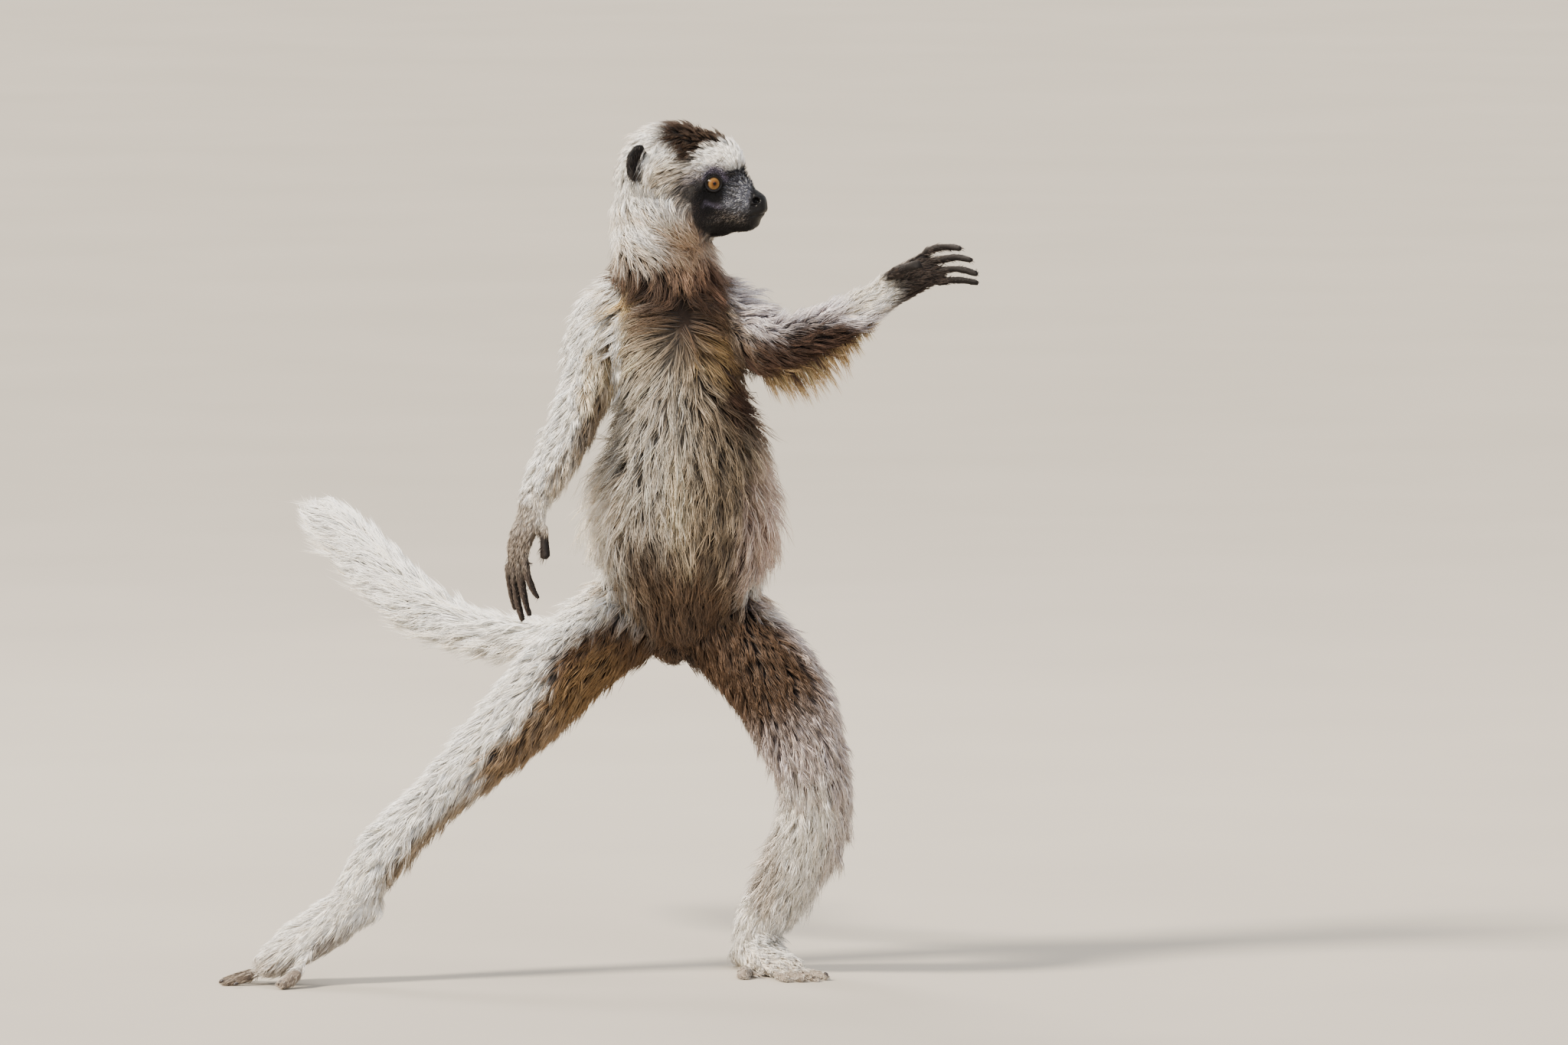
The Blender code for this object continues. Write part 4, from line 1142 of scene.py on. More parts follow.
class Groom:
    """How the coat grows and is marked at every vertex of the finished skin."""

    SIZES = ("length", "density", "lift", "clump", "curl", "width")
    IN_MM = ("length", "curl", "width")
    LEAST_DEPTH = 0.0004
    # Sizes of the coat in the ruff, at the brow and on the face.
    HEAD_COAT = {
        "length": (26.0, 8.0, 2.0), "density": (0.55, 0.9, 0.95), "lift": (0.95, 0.8, 0.8),
        "clump": (0.5, 0.3, 0.15), "curl": (1.8, 0.2, 0.05), "width": (0.38, 0.27, 0.17)}
    # Sizes at the flanks, round the ears, on the bulge and under the tail.
    FLANK_COAT = {"length": 38.0, "curl": 3.6, "clump": 0.62}
    EAR_COAT = {"lift": 2.5, "length": 19.0}
    BARE_COAT = {"length": 3.0}
    TAIL_COAT = {"lift": 1.75}
    EAR_PLACE, EAR_WIDTH, EAR_FRONT = (0.012, 0.040, 0.012), 0.012, 0.004
    RUFF_RISE, BROW_REACH = (0.004, -0.016), (0.014, 0.024)
    # The fringe: where it grows along the arm, on which side, and how much denser.
    FRINGE_REACH, FRINGE_FACING, FRINGE_TURN = (0.070, 0.172), (0.1, 0.1, -1.0), 0.80
    FRINGE_MORE = 0.8
    # Shares of the lids' opening and places on the nose where hair ends.
    BARE_LID, BARE_NOSE = 1.25, (0.0645, -0.031)
    GUIDE_REACH = 0.006
    LIMB_SAG, TAIL_SAG = -0.22, -0.30
    RAGGED, RAGGED_SIZE, RAGGED_SEEDS = 0.0025, 0.014, (0.0, 2.0, 4.0)
    CAP_HAIR, FACE_HAIR = ("170e09", "3a2819"), ("060506", "141213")
    # Hair colours of the pale crease below the eye and of the painted highlight over it, and the
    # crease's strength.
    PALE_HAIR, CREASE_STRENGTH = ("4a4450", "a29cb2"), 0.8
    # The painted highlight over the eye, a pale arc on the lid's fold: its share of the opening,
    # and its width.
    ARC = (1.60, 0.22)
    # Shares of root and tip colours in the skin's, and its bare places.
    ROOT_SHARE, TIP_SHARE = 0.62, 0.32
    NOSE_SKIN, NOSTRIL_SKIN, RIM_SKIN = "060506", "020202", "0b090a"
    NOSE_EDGE, NOSE_BASE = (0.0615, 0.0645), (-0.034, -0.030)
    NOSTRIL_EDGE, LID_EDGE, MOIST_LID = (1.1, 0.6), (1.35, 1.15), 1.2
    DRY_FACE, DRY_DIGITS, MOIST_RIM = 0.35, 0.4, 0.9

    def __init__(self, skin: Skin) -> None:
        """Survey the skin.

        Args:
            skin: the finished skin.
        """
        self.skin, self.seen = skin, skin.survey()
        self.on_head = self.seen.on("head", "muzzle", "nose", "eye", "ear")
        self.face = face_share(self.seen.head) * self.on_head
        self.eye = Face().eye_angle(self.seen.head)
        colours = np.array([
            [linear(colour) for colour in BASE_COLOURS[stem_of(name)]] for name in skin.names])
        self.coat = colours[self.seen.node, 0], colours[self.seen.node, 1]

    def pelt(self) -> Pelt:
        """Work out how the coat grows at every vertex, and mark the skin.

        Returns:
            The pelt.
        """
        seen, mesh = self.seen, self.skin.item.data
        hull = [self.skin.hull_tree.find_nearest(Vector(point))[3] for point in seen.points]
        hang = self.fringe()
        sizes = self.sizes(hang)
        self.paint()
        root, tip = (spread(rows, seen.edges, 1) for rows in self.coat)
        add_colours(mesh, "marking", self.skin_colours(root, tip))
        add_numbers(mesh, "bare", spread(self.bareness(), seen.edges, 2))
        return Pelt(node=seen.node, depth=np.maximum(np.array(hull), self.LEAST_DEPTH),
                    hang=hang.astype(float), way=self.comb(), root=root, tip=tip, **sizes)

    def fringe(self) -> Array:
        """Return which places carry the raised arm's hanging fringe.

        Returns:
            One answer for each vertex.
        """
        facing = self.seen.normals @ unit(np.array(self.FRINGE_FACING))
        start, end = self.FRINGE_REACH
        along = self.seen.body[:, 0]
        below = self.seen.on(*self.skin.RAISED_ARM) & (facing > self.FRINGE_TURN)
        return below & (along > start) & (along < end)

    def sizes(self, hang: Array) -> dict[str, Array]:
        """Work out the coat's sizes.

        Args:
            hang: which places carry the fringe.

        Returns:
            For each kind of size, one number for each vertex.
        """
        seen, head = self.seen, self.seen.head
        values = {key: seen.region(key) for key in self.SIZES}
        soft = seen.on("head", "eye")
        ruff = self.on_head * ramp(*self.RUFF_RISE, head[:, 2]) * (1.0 - self.face) * soft
        brow = self.on_head * ramp(*self.BROW_REACH, head[:, 0]) * (1.0 - self.face) * soft
        for key, sizes in self.HEAD_COAT.items():
            for share, size in zip((ruff, brow, self.face * soft), sizes):
                values[key] = values[key] + (size - values[key]) * share
        nose, lip = self.BARE_NOSE
        values["density"][self.on_head & (self.eye < self.BARE_LID)] = 0.0
        values["density"][(head[:, 0] > nose) & self.on_head & (head[:, 2] > lip)] = 0.0
        values["density"] = values["density"] * (1.0 + self.FRINGE_MORE * hang)
        near_ear = np.exp(-((np.abs(head) - self.EAR_PLACE) ** 2).sum(1) / self.EAR_WIDTH ** 2)
        near_ear = near_ear * self.on_head * (head[:, 0] < self.EAR_FRONT)
        below = seen.on("tail") * np.clip(-seen.normals[:, 2], 0.0, 1.0)
        for share, sizes in ((seen.flank_share(), self.FLANK_COAT), (near_ear, self.EAR_COAT),
                             (bare_share(seen.body), self.BARE_COAT), (below, self.TAIL_COAT)):
            for key, size in sizes.items():
                values[key] = values[key] + (size - values[key]) * share
        return {key: spread(rows, seen.edges, 4) * (MM if key in self.IN_MM else 1.0)
                for key, rows in values.items()}

    def guides(self) -> tuple[Array, Array]:
        """Return the places and directions of all guides, in the animal's axes.

        Returns:
            The places, and the directions.
        """
        rows = [(metres(row[:3]), row[3:]) for row in BODY_GUIDES]
        turn = np.array(self.skin.axes.turn)
        for row in HEAD_GUIDES:
            for flip in (np.array((1.0, sign, 1.0)) for sign in (1.0, -1.0)):
                rows.append((turn @ (metres(row[:3]) * flip) + np.array(HEAD_MIDDLE),
                             turn @ (np.array(row[3:]) * flip)))
        return np.array([place for place, _ in rows]), unit(np.array([way for _, way in rows]))

    def comb(self) -> Array:
        """Return the way that hair lies at each vertex, along the skin.

        Returns:
            One direction for each vertex.
        """
        seen = self.seen
        way = np.zeros_like(seen.body)
        total = np.zeros(len(seen.body))
        for place, direction in zip(*self.guides()):
            gap = ((seen.body - place) ** 2).sum(1)
            weight = 1.0 / (gap + self.GUIDE_REACH ** 2) ** 2
            way += direction * weight[:, None]
            total += weight
        way = unit(way / total[:, None])
        for bone in BONES:
            grown = [k for k, name in enumerate(self.skin.names) if bone_of(name) == bone]
            rows = np.isin(seen.node, grown)
            _, along = nearest_on_bone(bone, seen.body[rows])
            way[rows] = unit(along + UP_ROW * (self.TAIL_SAG if bone == "tail" else self.LIMB_SAG))
        way = spread(way, seen.edges, 12)
        way -= seen.normals * (way * seen.normals).sum(1)[:, None]
        return unit(way)

    def paint(self) -> None:
        """Lay all markings, with their painted shade and light, on the coat, from the trunk to the
        pale lines of the face, one of them a painted highlight over the eye.
        """
        body, head = self.seen.body, self.seen.head
        ragged = np.stack([wobble(body, self.RAGGED_SIZE, seed) for seed in self.RAGGED_SEEDS],
                          1) * self.RAGGED
        side = right_side(head + ragged * 0.5)
        for patch in BODY_PATCHES:
            self.lay(patch, body + ragged)
        for patch in HEAD_PATCHES:
            self.lay(patch, side)
        self.wash(self.CAP_HAIR, cap_share(head) * self.seen.on("head"))
        self.wash(self.FACE_HAIR, self.face)
        for patch in FACE_PATCHES:
            self.lay(patch, side, self.face)
        # A painted highlight in an arc on the fold over the eye, and the pale crease below it.
        lid_highlight = bell(self.eye - self.ARC[0], self.ARC[1])
        lid_highlight = lid_highlight * ramp(-0.001, 0.004, head[:, 2] - EYE_PLACE[2])
        highlight_and_crease = np.maximum(lid_highlight, self.CREASE_STRENGTH * crease_share(head))
        self.wash(self.PALE_HAIR, self.face * highlight_and_crease)

    def wash(self, hair: tuple[str, str], share: Array, rows: Any = slice(None)) -> None:
        """Mix a hair's root and tip colours into some rows of the coat."""
        for colours, colour in zip(self.coat, hair):
            colours[rows] = mix(colours[rows], tint(colour), share)

    def lay(self, patch: Patch, places: Array, limit: Array | None = None) -> None:
        """Mix one patch into the coat's colours.

        Args:
            patch: the patch.
            places: places in the patch's axes.
            limit: the most that the patch may cover at each place.
        """
        rows = self.seen.on(*patch.stems.split())
        gap = (places[rows] - metres(patch.middle)) / metres(patch.radii)
        away = norm(gap)
        share = patch.strength * ramp(1.0 + patch.edge, 1.0 - patch.edge, away)
        if patch.speckle:
            share = share * ramp(-0.7, 0.3, wobble(places[rows], patch.speckle / 1000, 7.0))
        if any(patch.facing):
            facing = self.seen.normals[rows] @ unit(np.array(patch.facing, float))
            share = share * ramp(patch.turn - 0.2, patch.turn + 0.2, facing)
        if limit is not None:
            share = share * limit[rows]
        self.wash((patch.root, patch.tip), share, rows)

    def skin_colours(self, root: Array, tip: Array) -> Array:
        """Return the skin's own colours: the markings and painted shade, with darker bare rims and
        nose.

        Args:
            root: the hair's colours at the root.
            tip: those at the tip.

        Returns:
            One colour for each vertex.
        """
        forward, _, up = self.seen.head.T
        nose = ramp(*self.NOSE_EDGE, forward - Face.RIM_LEAN * (up - Face.RIM_MIDDLE))
        nose = nose * ramp(*self.NOSE_BASE, up)
        nostril = ramp(*self.NOSTRIL_EDGE, Face.NOSTRIL.away(self.seen.head))
        rim = ramp(*self.LID_EDGE, self.eye)
        colours = root * self.ROOT_SHARE + tip * self.TIP_SHARE * tip.mean(1)[:, None]
        colours = mix(colours, root, self.face)
        for colour, share in ((self.NOSE_SKIN, nose), (self.NOSTRIL_SKIN, nostril),
                              (self.RIM_SKIN, rim)):
            colours = mix(colours, tint(colour), self.on_head * share)
        return colours

    def bareness(self) -> Array:
        """Return 1 on moist bare skin, less on the dry face, digits and palms, 0 in fur.

        Returns:
            One number for each vertex.
        """
        seen = self.seen
        rim = (self.eye < self.MOIST_LID) & seen.on("head", "eye", "muzzle")
        dry = np.maximum(self.DRY_FACE * self.face,
                         self.DRY_DIGITS * seen.on("finger", "toe", "hand", "ear"))
        return np.maximum(dry, np.maximum(seen.on("nose"), self.MOIST_RIM * rim))


# ---- coat


@dataclass
class Roots:
    """Where hairs leave the skin, and how the skin's coat is at each place."""

    place: Array
    normal: Array
    uv: Array
    node: Array
    fields: dict[str, Array]

    def chosen(self, rows: Array) -> "Roots":
        """Return some of the rows."""
        return Roots(self.place[rows], self.normal[rows], self.uv[rows], self.node[rows],
                     {key: value[rows] for key, value in self.fields.items()})


class HairMesh:
    """Closed, tapered hairs with three sides.

    FLAT is a hair's thickness over its width, TAPER its width at each ring, PATCH its share
    of the map, and TIP_LATE how late its tip's colour comes in.
    """

    SIDES, FLAT, TAPER, PATCH, TIP_LATE = 3, 0.6, (1.5, 1.15, 0.65), 0.003, 1.2

    def __init__(self, centres: Array, normals: Array, widths: Array) -> None:
        """Keep each hair's ring middles and tip, its outward side and its width."""
        self.centres, self.normals, self.widths = centres, normals, widths
        self.rings = centres.shape[1] - 1

    def points(self) -> Array:
        """Return the places of all vertices, hair by hair.

        Returns:
            One row for each vertex.
        """
        tangents = unit(np.gradient(self.centres, axis=1))
        rows = []
        for j in range(self.rings):
            along = tangents[:, j]
            side = unit(np.cross(along, self.normals))
            over = np.cross(side, along)
            half = self.widths * 0.5 * self.TAPER[j]
            for k in range(self.SIDES):
                angle = math.pi / 2 - math.tau * k / self.SIDES
                rows.append(self.centres[:, j] + side * (half * math.cos(angle))[:, None]
                            + over * (half * self.FLAT * math.sin(angle))[:, None])
        rows.append(self.centres[:, -1])
        return np.stack(rows, 1).reshape(-1, 3)

    def pattern(self) -> tuple[Array, Array]:
        """Return one hair's triangles, and where each corner lies in its map patch.

        Returns:
            The triangles, and their corners' places.
        """
        faces, spots = [(2, 1, 0)], [((0.0, 0.0), (0.2, 0.5), (0.0, 1.0))]
        for j in range(self.rings):
            low, high = j / self.rings, (j + 1) / self.rings
            for k in range(self.SIDES):
                a, b = self.SIDES * j + k, self.SIDES * j + (k + 1) % self.SIDES
                left, right = k / self.SIDES, (k + 1) / self.SIDES
                if j == self.rings - 1:
                    faces.append((a, b, self.SIDES * self.rings))
                    spots.append(((low, left), (low, right), (1.0, (k + 0.5) / self.SIDES)))
                    continue
                faces += [(a, b, b + self.SIDES), (a, b + self.SIDES, a + self.SIDES)]
                spots += [((low, left), (low, right), (high, right)),
                          ((low, left), (high, right), (high, left))]
        return np.array(faces), np.array(spots)

    def build(self, name: str, uv: Array, root: Array, tip: Array,
              power: Array | None = None) -> Item:
        """Make the mesh.

        Args:
            name: the piece's name.
            uv: each hair's place in the skin's map.
            root: its colour at the skin.
            tip: its colour at the end.
            power: how late the tip's colour comes in on each hair.

        Returns:
            The piece.
        """
        count, each = len(uv), self.SIDES * self.rings + 1
        faces, spots = self.pattern()
        corners = (faces[None] + (np.arange(count) * each)[:, None, None]).reshape(-1)
        mesh = bpy.data.meshes.new(name)
        mesh.vertices.add(count * each)
        mesh.vertices.foreach_set("co", self.points().astype(np.float32).ravel())
        mesh.loops.add(len(corners))
        mesh.loops.foreach_set("vertex_index", corners.astype(np.int32))
        total = count * len(faces)
        mesh.polygons.add(total)
        mesh.polygons.foreach_set("loop_start", np.arange(0, total * 3, 3, dtype=np.int32))
        mesh.polygons.foreach_set("use_smooth", np.ones(total, bool))
        mesh.update(calc_edges=True)
        layer = mesh.uv_layers.new(name="OFBake")
        corner_uv = uv[:, None, None, :] + (spots[None] - 0.5) * self.PATCH
        layer.data.foreach_set("uv", np.clip(corner_uv, 0.0, 1.0).astype(np.float32).ravel())
        share = np.append(np.repeat(np.arange(self.rings) / self.rings, self.SIDES), 1.0)
        late = np.full(count, self.TIP_LATE) if power is None else power
        share = share[None] ** late[:, None]
        colours = root[:, None] + (tip - root)[:, None] * share[:, :, None]
        add_colours(mesh, "marking", colours.reshape(-1, 3))
        return new_object(name, mesh)


COAT_PIECES = {
    "head": (("head", "eye", "ear", "muzzle", "nose"), "white_coat"),
    "neck": (("neck",), "grey_coat"),
    "chest": (("chest",), "grey_coat"),
    "belly": (("belly", "hips"), "brown_coat"),
    "arm_right": (("upper_arm_right", "forearm_right"), "white_coat"),
    "arm_left": (("upper_arm_left", "forearm_left"), "brown_coat"),
    "leg_right": (("thigh_right", "shank_right"), "white_coat"),
    "leg_left": (("thigh_left", "shank_left"), "brown_coat"),
    "tail": (("tail",), "white_coat"),
    "hands": (("hand", "finger"), "grey_coat"),
    "feet": (("foot", "toe"), "white_coat"),
}


class Coat:
    """The hair of the whole animal, grown on the skin in locks."""

    # A lock's steps, the share of the coat's depth reached at each, and its hairs.
    STEPS, PROFILE, HAIRS_IN_LOCK = 4, (0.0, 0.42, 0.72, 0.92, 1.05), 10
    # Where hairs bend, from root to tip: curled ones, plain ones, and those up to SHORT.
    CURLED = ("neck", "chest", "belly", "arm_left")
    LONG_TIMES, PLAIN_TIMES = (0.0, 0.36, 0.72, 1.0), (0.0, 0.55, 1.0)
    SHORT_TIMES, SHORT = (0.0, 0.5, 1.0), 0.0078
    # A piece's most triangles and fewest hairs, and the share of the full density.
    MOST, FEWEST, SHARE = 195000, 40, 0.94
    # How far roots start inside the skin, and how far off it hairs look for their lock.
    INSIDE, APART, WIDTH_GAIN = 0.0003, 0.006, 1.6
    # Middle and spread of a lock's lift, length and swing, and the share of unruly locks.
    LIFTS, LENGTHS, SWINGS = (0.98, 0.10), (1.0, 0.12), (0.0, 0.16)
    UNRULY, UNRULY_LIFTS = 0.14, (1.15, 1.7)
    # Shares of a lock's own way and of the skin's at each step.
    OWN_WAY, SKIN_WAY = 0.55, 0.45
    # How the fringe hangs.
    FRINGE_WAY, FRINGE_LENGTH = (0.50, -0.10, -0.86), 0.052
    FRINGE_SPREAD, FRINGE_SHARES, FRINGE_BOW = 0.13, (0.50, 1.12), 0.10
    # The fringe's colours: a dark root, and golden tips that are partly painted light glowing
    # through the hanging hair.
    FRINGE_COLOURS = ("4a2f1a", "f4d3a0")
    # A hair beside its lock: its waves, how far it strays and how long it is.
    CYCLES, OWN_PHASE, WAVE_RISE = (0.8, 1.7), 0.6, 0.5
    STRAY, STRAY_POWER, GATHER_POWER, EXTENTS = 0.055, 1.5, 1.2, (0.72, 1.06)
    # Unevenness of tone in white and brown fur, and the strength and size of streaks.
    TONES, WARMTH, COOLING = (0.04, 0.9), 0.035, 1.4
    BROAD_STREAKS, FINE_STREAKS, LIGHTEST = (0.08, 0.02), (0.7, 0.0045), 0.95
    WIDTHS, TIP_POWERS = (0.75, 1.3), (0.9, 0.5)

    def __init__(self, skin: Skin, pelt: Pelt) -> None:
        """Read the skin.

        Args:
            skin: the finished skin.
            pelt: how the coat grows on it.
        """
        self.skin, self.pelt = skin, pelt
        mesh = skin.item.data
        self.points, self.normals = mesh_points(mesh), mesh_normals(mesh)
        self.triangles = mesh_triangles(mesh)
        uv = read(mesh.uv_layers["OFBake"].data, "uv", 2)
        self.uv = uv[mesh_triangles(mesh, "loops")]
        self.tree = BVHTree.FromPolygons(self.points.tolist(), self.triangles.tolist())
        self.rng = np.random.default_rng(11)
        self.low = np.array(CAD_BOX[0]) + self.INSIDE
        self.high = np.array(CAD_BOX[1]) - self.INSIDE

    def roots(self, share: float) -> Roots:
        """Scatter roots over the skin by the coat's density.

        Args:
            share: roots for each hair of the coat.

        Returns:
            The roots.
        """
        corners = self.points[self.triangles]
        area = norm(np.cross(corners[:, 1] - corners[:, 0],
                                       corners[:, 2] - corners[:, 0])) / 2
        density = self.pelt.density[self.triangles].mean(1)
        count = self.rng.poisson(area * density * share / MM ** 2)
        rows = np.repeat(np.arange(len(area)), count)
        a, b = self.rng.random(len(rows)), self.rng.random(len(rows))
        fold = a + b > 1
        a[fold], b[fold] = 1 - a[fold], 1 - b[fold]
        weights = np.stack((1 - a - b, a, b), 1)

        def at(values: Array) -> Array:
            """Blend the values of the three corners."""
            picked = values[self.triangles[rows]]
            return (picked * weights.reshape(weights.shape + (1,) * (picked.ndim - 2))).sum(1)

        fields = {key: at(rows_of) for key, rows_of in vars(self.pelt).items() if key != "node"}
        uv = (self.uv[rows] * weights[:, :, None]).sum(1)
        node = self.pelt.node[self.triangles[rows, 0]]
        return Roots(at(self.points), unit(at(self.normals)), uv, node, fields)

    def lock_paths(self, locks: Roots) -> Array:
        """Lead each lock along the skin, rising to the coat's surface.

        Args:
            locks: the locks' roots.

        Returns:
            For each lock, the places along its middle.
        """
        count = len(locks.place)
        paths = np.zeros((count, self.STEPS + 1, 3))
        paths[:, 0] = locks.place
        rng = self.rng
        lift = locks.fields["lift"] * rng.normal(*self.LIFTS, count)
        unruly = rng.random(count) < self.UNRULY
        lift *= np.where(unruly, rng.uniform(*self.UNRULY_LIFTS, count), 1.0)
        stretch = locks.fields["length"] * rng.normal(*self.LENGTHS, count) / self.STEPS
        swing = rng.normal(*self.SWINGS, count)
        for row in range(count):
            place, way = locks.place[row], locks.fields["way"][row]
            way = way + np.cross(locks.normal[row], way) * swing[row]
            if locks.fields["hang"][row] > 0.5:
                self.hang(paths, row, place)
                continue
            for k in range(1, self.STEPS + 1):
                spot, facing, face, _ = self.tree.find_nearest(Vector(place + way * stretch[row]))
                vertices = self.triangles[face]
                place, facing = np.array(spot), np.array(facing)
                depth = self.pelt.depth[vertices].mean()
                flow = self.pelt.way[vertices].mean(0)
                flow = flow + np.cross(facing, flow) * swing[row]
                way = self.OWN_WAY * way + self.SKIN_WAY * flow
                way = way - facing * (way @ facing)
                way /= max(np.linalg.norm(way), 1e-6)
                paths[row, k] = place + facing * depth * lift[row] * self.PROFILE[k]
        return paths

    def hang(self, paths: Array, row: int, place: Array) -> None:
        """Let a lock of the arm's fringe hang free, as far as the part's outline.

        Args:
            paths: the paths of all locks, one of which is filled in.
            row: the lock's number.
            place: its root.
        """
        way = unit(np.array(self.FRINGE_WAY) + self.rng.normal(0.0, self.FRINGE_SPREAD, 3))
        hit = self.skin.hull_tree.ray_cast(Vector(place + way * 0.0005), Vector(way))[3]
        length = min(hit or 0.01, self.FRINGE_LENGTH) * self.rng.uniform(*self.FRINGE_SHARES)
        for k in range(1, self.STEPS + 1):
            t = k / self.STEPS
            bow = UP_ROW * (self.FRINGE_BOW * length * t * (1 - t))
            paths[row, k] = place + way * length * t + bow

    def hairs(self, roots: Roots, locks: Roots, paths: Array, times: tuple) -> Array:
        """Lead each hair beside its lock.

        Args:
            roots: the hairs' roots.
            locks: the locks' roots.
            paths: the locks' paths.
            times: how far along a hair each of its points lies.

        Returns:
            For each hair, its points.
        """
        tree = KDTree(len(locks.place))
        for k, spot in enumerate(locks.place + locks.normal * self.APART):
            tree.insert(Vector(spot), k)
        tree.balance()
        spots = roots.place + roots.normal * self.APART
        lock = np.array([tree.find(Vector(spot))[1] for spot in spots])
        offset = roots.place - locks.place[lock]
        count, fields = len(lock), roots.fields
        side = unit(np.cross(fields["way"], roots.normal))
        phase = self.rng.random(count) * math.tau
        cycles = self.rng.uniform(*self.CYCLES, count)
        lock_phase = self.rng.random(len(locks.place)) * math.tau
        phase = lock_phase[lock] + self.OWN_PHASE * phase
        far = (self.STRAY * fields["length"])[:, None]
        stray = self.rng.normal(0.0, 1.0, (count, 3)) * far
        extent = self.rng.uniform(*self.EXTENTS, count)
        rows = np.zeros((count, len(times), 3))
        for j, t in enumerate(times):
            reach = np.clip(t * extent, 0.0, 1.0) * self.STEPS
            whole = np.minimum(reach.astype(int), self.STEPS - 1)
            part = (reach - whole)[:, None]
            middle = paths[lock, whole] * (1 - part) + paths[lock, whole + 1] * part
            gather = 1.0 - fields["clump"] * t ** self.GATHER_POWER
            turned = phase + cycles * math.tau * t
            wave, lift = np.sin(turned) - np.sin(phase), np.cos(turned) - np.cos(phase)
            rise = fields["curl"] * self.WAVE_RISE * lift * t
            rows[:, j] = (middle + offset * gather[:, None] + stray * t ** self.STRAY_POWER
                          + side * (fields["curl"] * wave * t)[:, None]
                          + roots.normal * rise[:, None])
        rows[:, 0] -= roots.normal * self.INSIDE
        return np.clip(rows, self.low, self.high)

    def colours(self, roots: Roots) -> tuple[Array, Array]:
        """Return each hair's two colours, with the small differences between hairs.

        Args:
            roots: the hairs' roots.

        Returns:
            The colours at the root and at the tip.
        """
        count = len(roots.place)
        dark = 1.0 - roots.fields["tip"].mean(1)
        uneven = dark * (1.05 - dark)
        (white, brown), (broad, size), (fine, fine_size) = (
            self.TONES, self.BROAD_STREAKS, self.FINE_STREAKS)
        tone = np.exp(self.rng.normal(0.0, 1.0, count) * (white + brown * uneven)
                      + broad * wobble(roots.place, size)
                      + fine * uneven * wobble(roots.place, fine_size, 5.0))
        warm = self.rng.normal(0.0, self.WARMTH, count)
        shade = np.stack((1.0 + warm, np.ones(count), 1.0 - self.COOLING * warm), 1)
        shade = shade * tone[:, None]
        # The fringe takes its own colours, with their painted golden glow.
        root, tip = (mix(roots.fields[key], tint(colour), roots.fields["hang"])
                     for key, colour in zip(("root", "tip"), self.FRINGE_COLOURS))
        return np.clip(root * shade, 0.0, 1.0), np.clip(tip * shade, 0.0, self.LIGHTEST)

    def build(self) -> list[tuple[Item, str]]:
        """Grow the coat.

        Returns:
            The pieces, each with the name of the record's slot.
        """
        roots, locks = self.roots(self.SHARE), self.roots(self.SHARE / self.HAIRS_IN_LOCK)
        LOG.info("%d hairs in %d locks", len(roots.place), len(locks.place))
        paths = self.lock_paths(locks)
        long = roots.fields["length"] > self.SHORT
        pieces = []
        for group, (stems, slot) in COAT_PIECES.items():
            here = np.isin(roots.node, self.skin.numbers(*stems))
            bends = self.LONG_TIMES if group in self.CURLED else self.PLAIN_TIMES
            for kind, rows, times in (("", here & long, bends),
                                      ("_short", here & ~long, self.SHORT_TIMES)):
                picked = np.flatnonzero(rows)
                most = self.MOST // (6 * len(times) - 8)
                for part, start in enumerate(range(0, len(picked), most)):
                    some = roots.chosen(picked[start:start + most])
                    if len(some.place) < self.FEWEST:
                        continue
                    centres = self.hairs(some, locks, paths, times)
                    width = self.rng.uniform(*self.WIDTHS, len(some.place))
                    width = some.fields["width"] * width
                    hair = HairMesh(centres, some.normal, width * self.WIDTH_GAIN)
                    name = f"coat_{group}{kind}" + (f"_{part + 1}" if part else "")
                    power = self.TIP_POWERS[0] + self.TIP_POWERS[1] * some.fields["hang"]
                    pieces.append((hair.build(name, some.uv, *self.colours(some), power), slot))
        return pieces


# ---- materials


def add_node(tree: Tree, kind: str, inputs: dict[Any, Any] | None = None,
             **settings: Any) -> bpy.types.Node:
    """Add a node, set it up and link its inputs.

    Args:
        tree: the material's nodes.
        kind: the node's type.
        inputs: for each socket, a value or the output socket that feeds it.
        settings: the node's own settings.

    Returns:
        The node.
    """
    node = tree.nodes.new(kind)
    for key, value in settings.items():
        setattr(node, key, value)
    for key, value in (inputs or {}).items():
        if isinstance(value, Socket):
            tree.links.new(value, node.inputs[key])
        else:
            node.inputs[key].default_value = value
    return node


@dataclass(frozen=True)
class Finish:
    """A surface finish, laid as nodes that feed one Principled surface."""

    name: str

    def nodes(self, tree: Tree) -> dict[str, Any]:
        """Lay the nodes and return the surface's inputs."""
        raise NotImplementedError

    def material(self) -> bpy.types.Material:
        """Return the finish as a material.

        Returns:
            The material.
        """
        material = bpy.data.materials.new(self.name)
        material.use_nodes = True
        tree = material.node_tree
        tree.nodes.clear()
        surface = add_node(tree, "ShaderNodeBsdfPrincipled", self.nodes(tree))
        add_node(tree, "ShaderNodeOutputMaterial", {"Surface": surface.outputs[0]})
        return material


def grain(tree: Tree, size: float) -> Socket:
    """Return noise in object space whose grains are about size metres across."""
    place = add_node(tree, "ShaderNodeTexCoord").outputs["Object"]
    inputs = {"Vector": place, "Scale": 1.0 / size, "Detail": 3.0}
    return add_node(tree, "ShaderNodeTexNoise", inputs).outputs["Fac"]


def spanned(tree: Tree, value: Any, low: float, high: float,
            start: float = 0.3, end: float = 0.7) -> Socket:
    """Return value stretched from start..end to low..high."""
    return add_node(tree, "ShaderNodeMapRange", {
        0: value, 1: start, 2: end, 3: low, 4: high}).outputs[0]


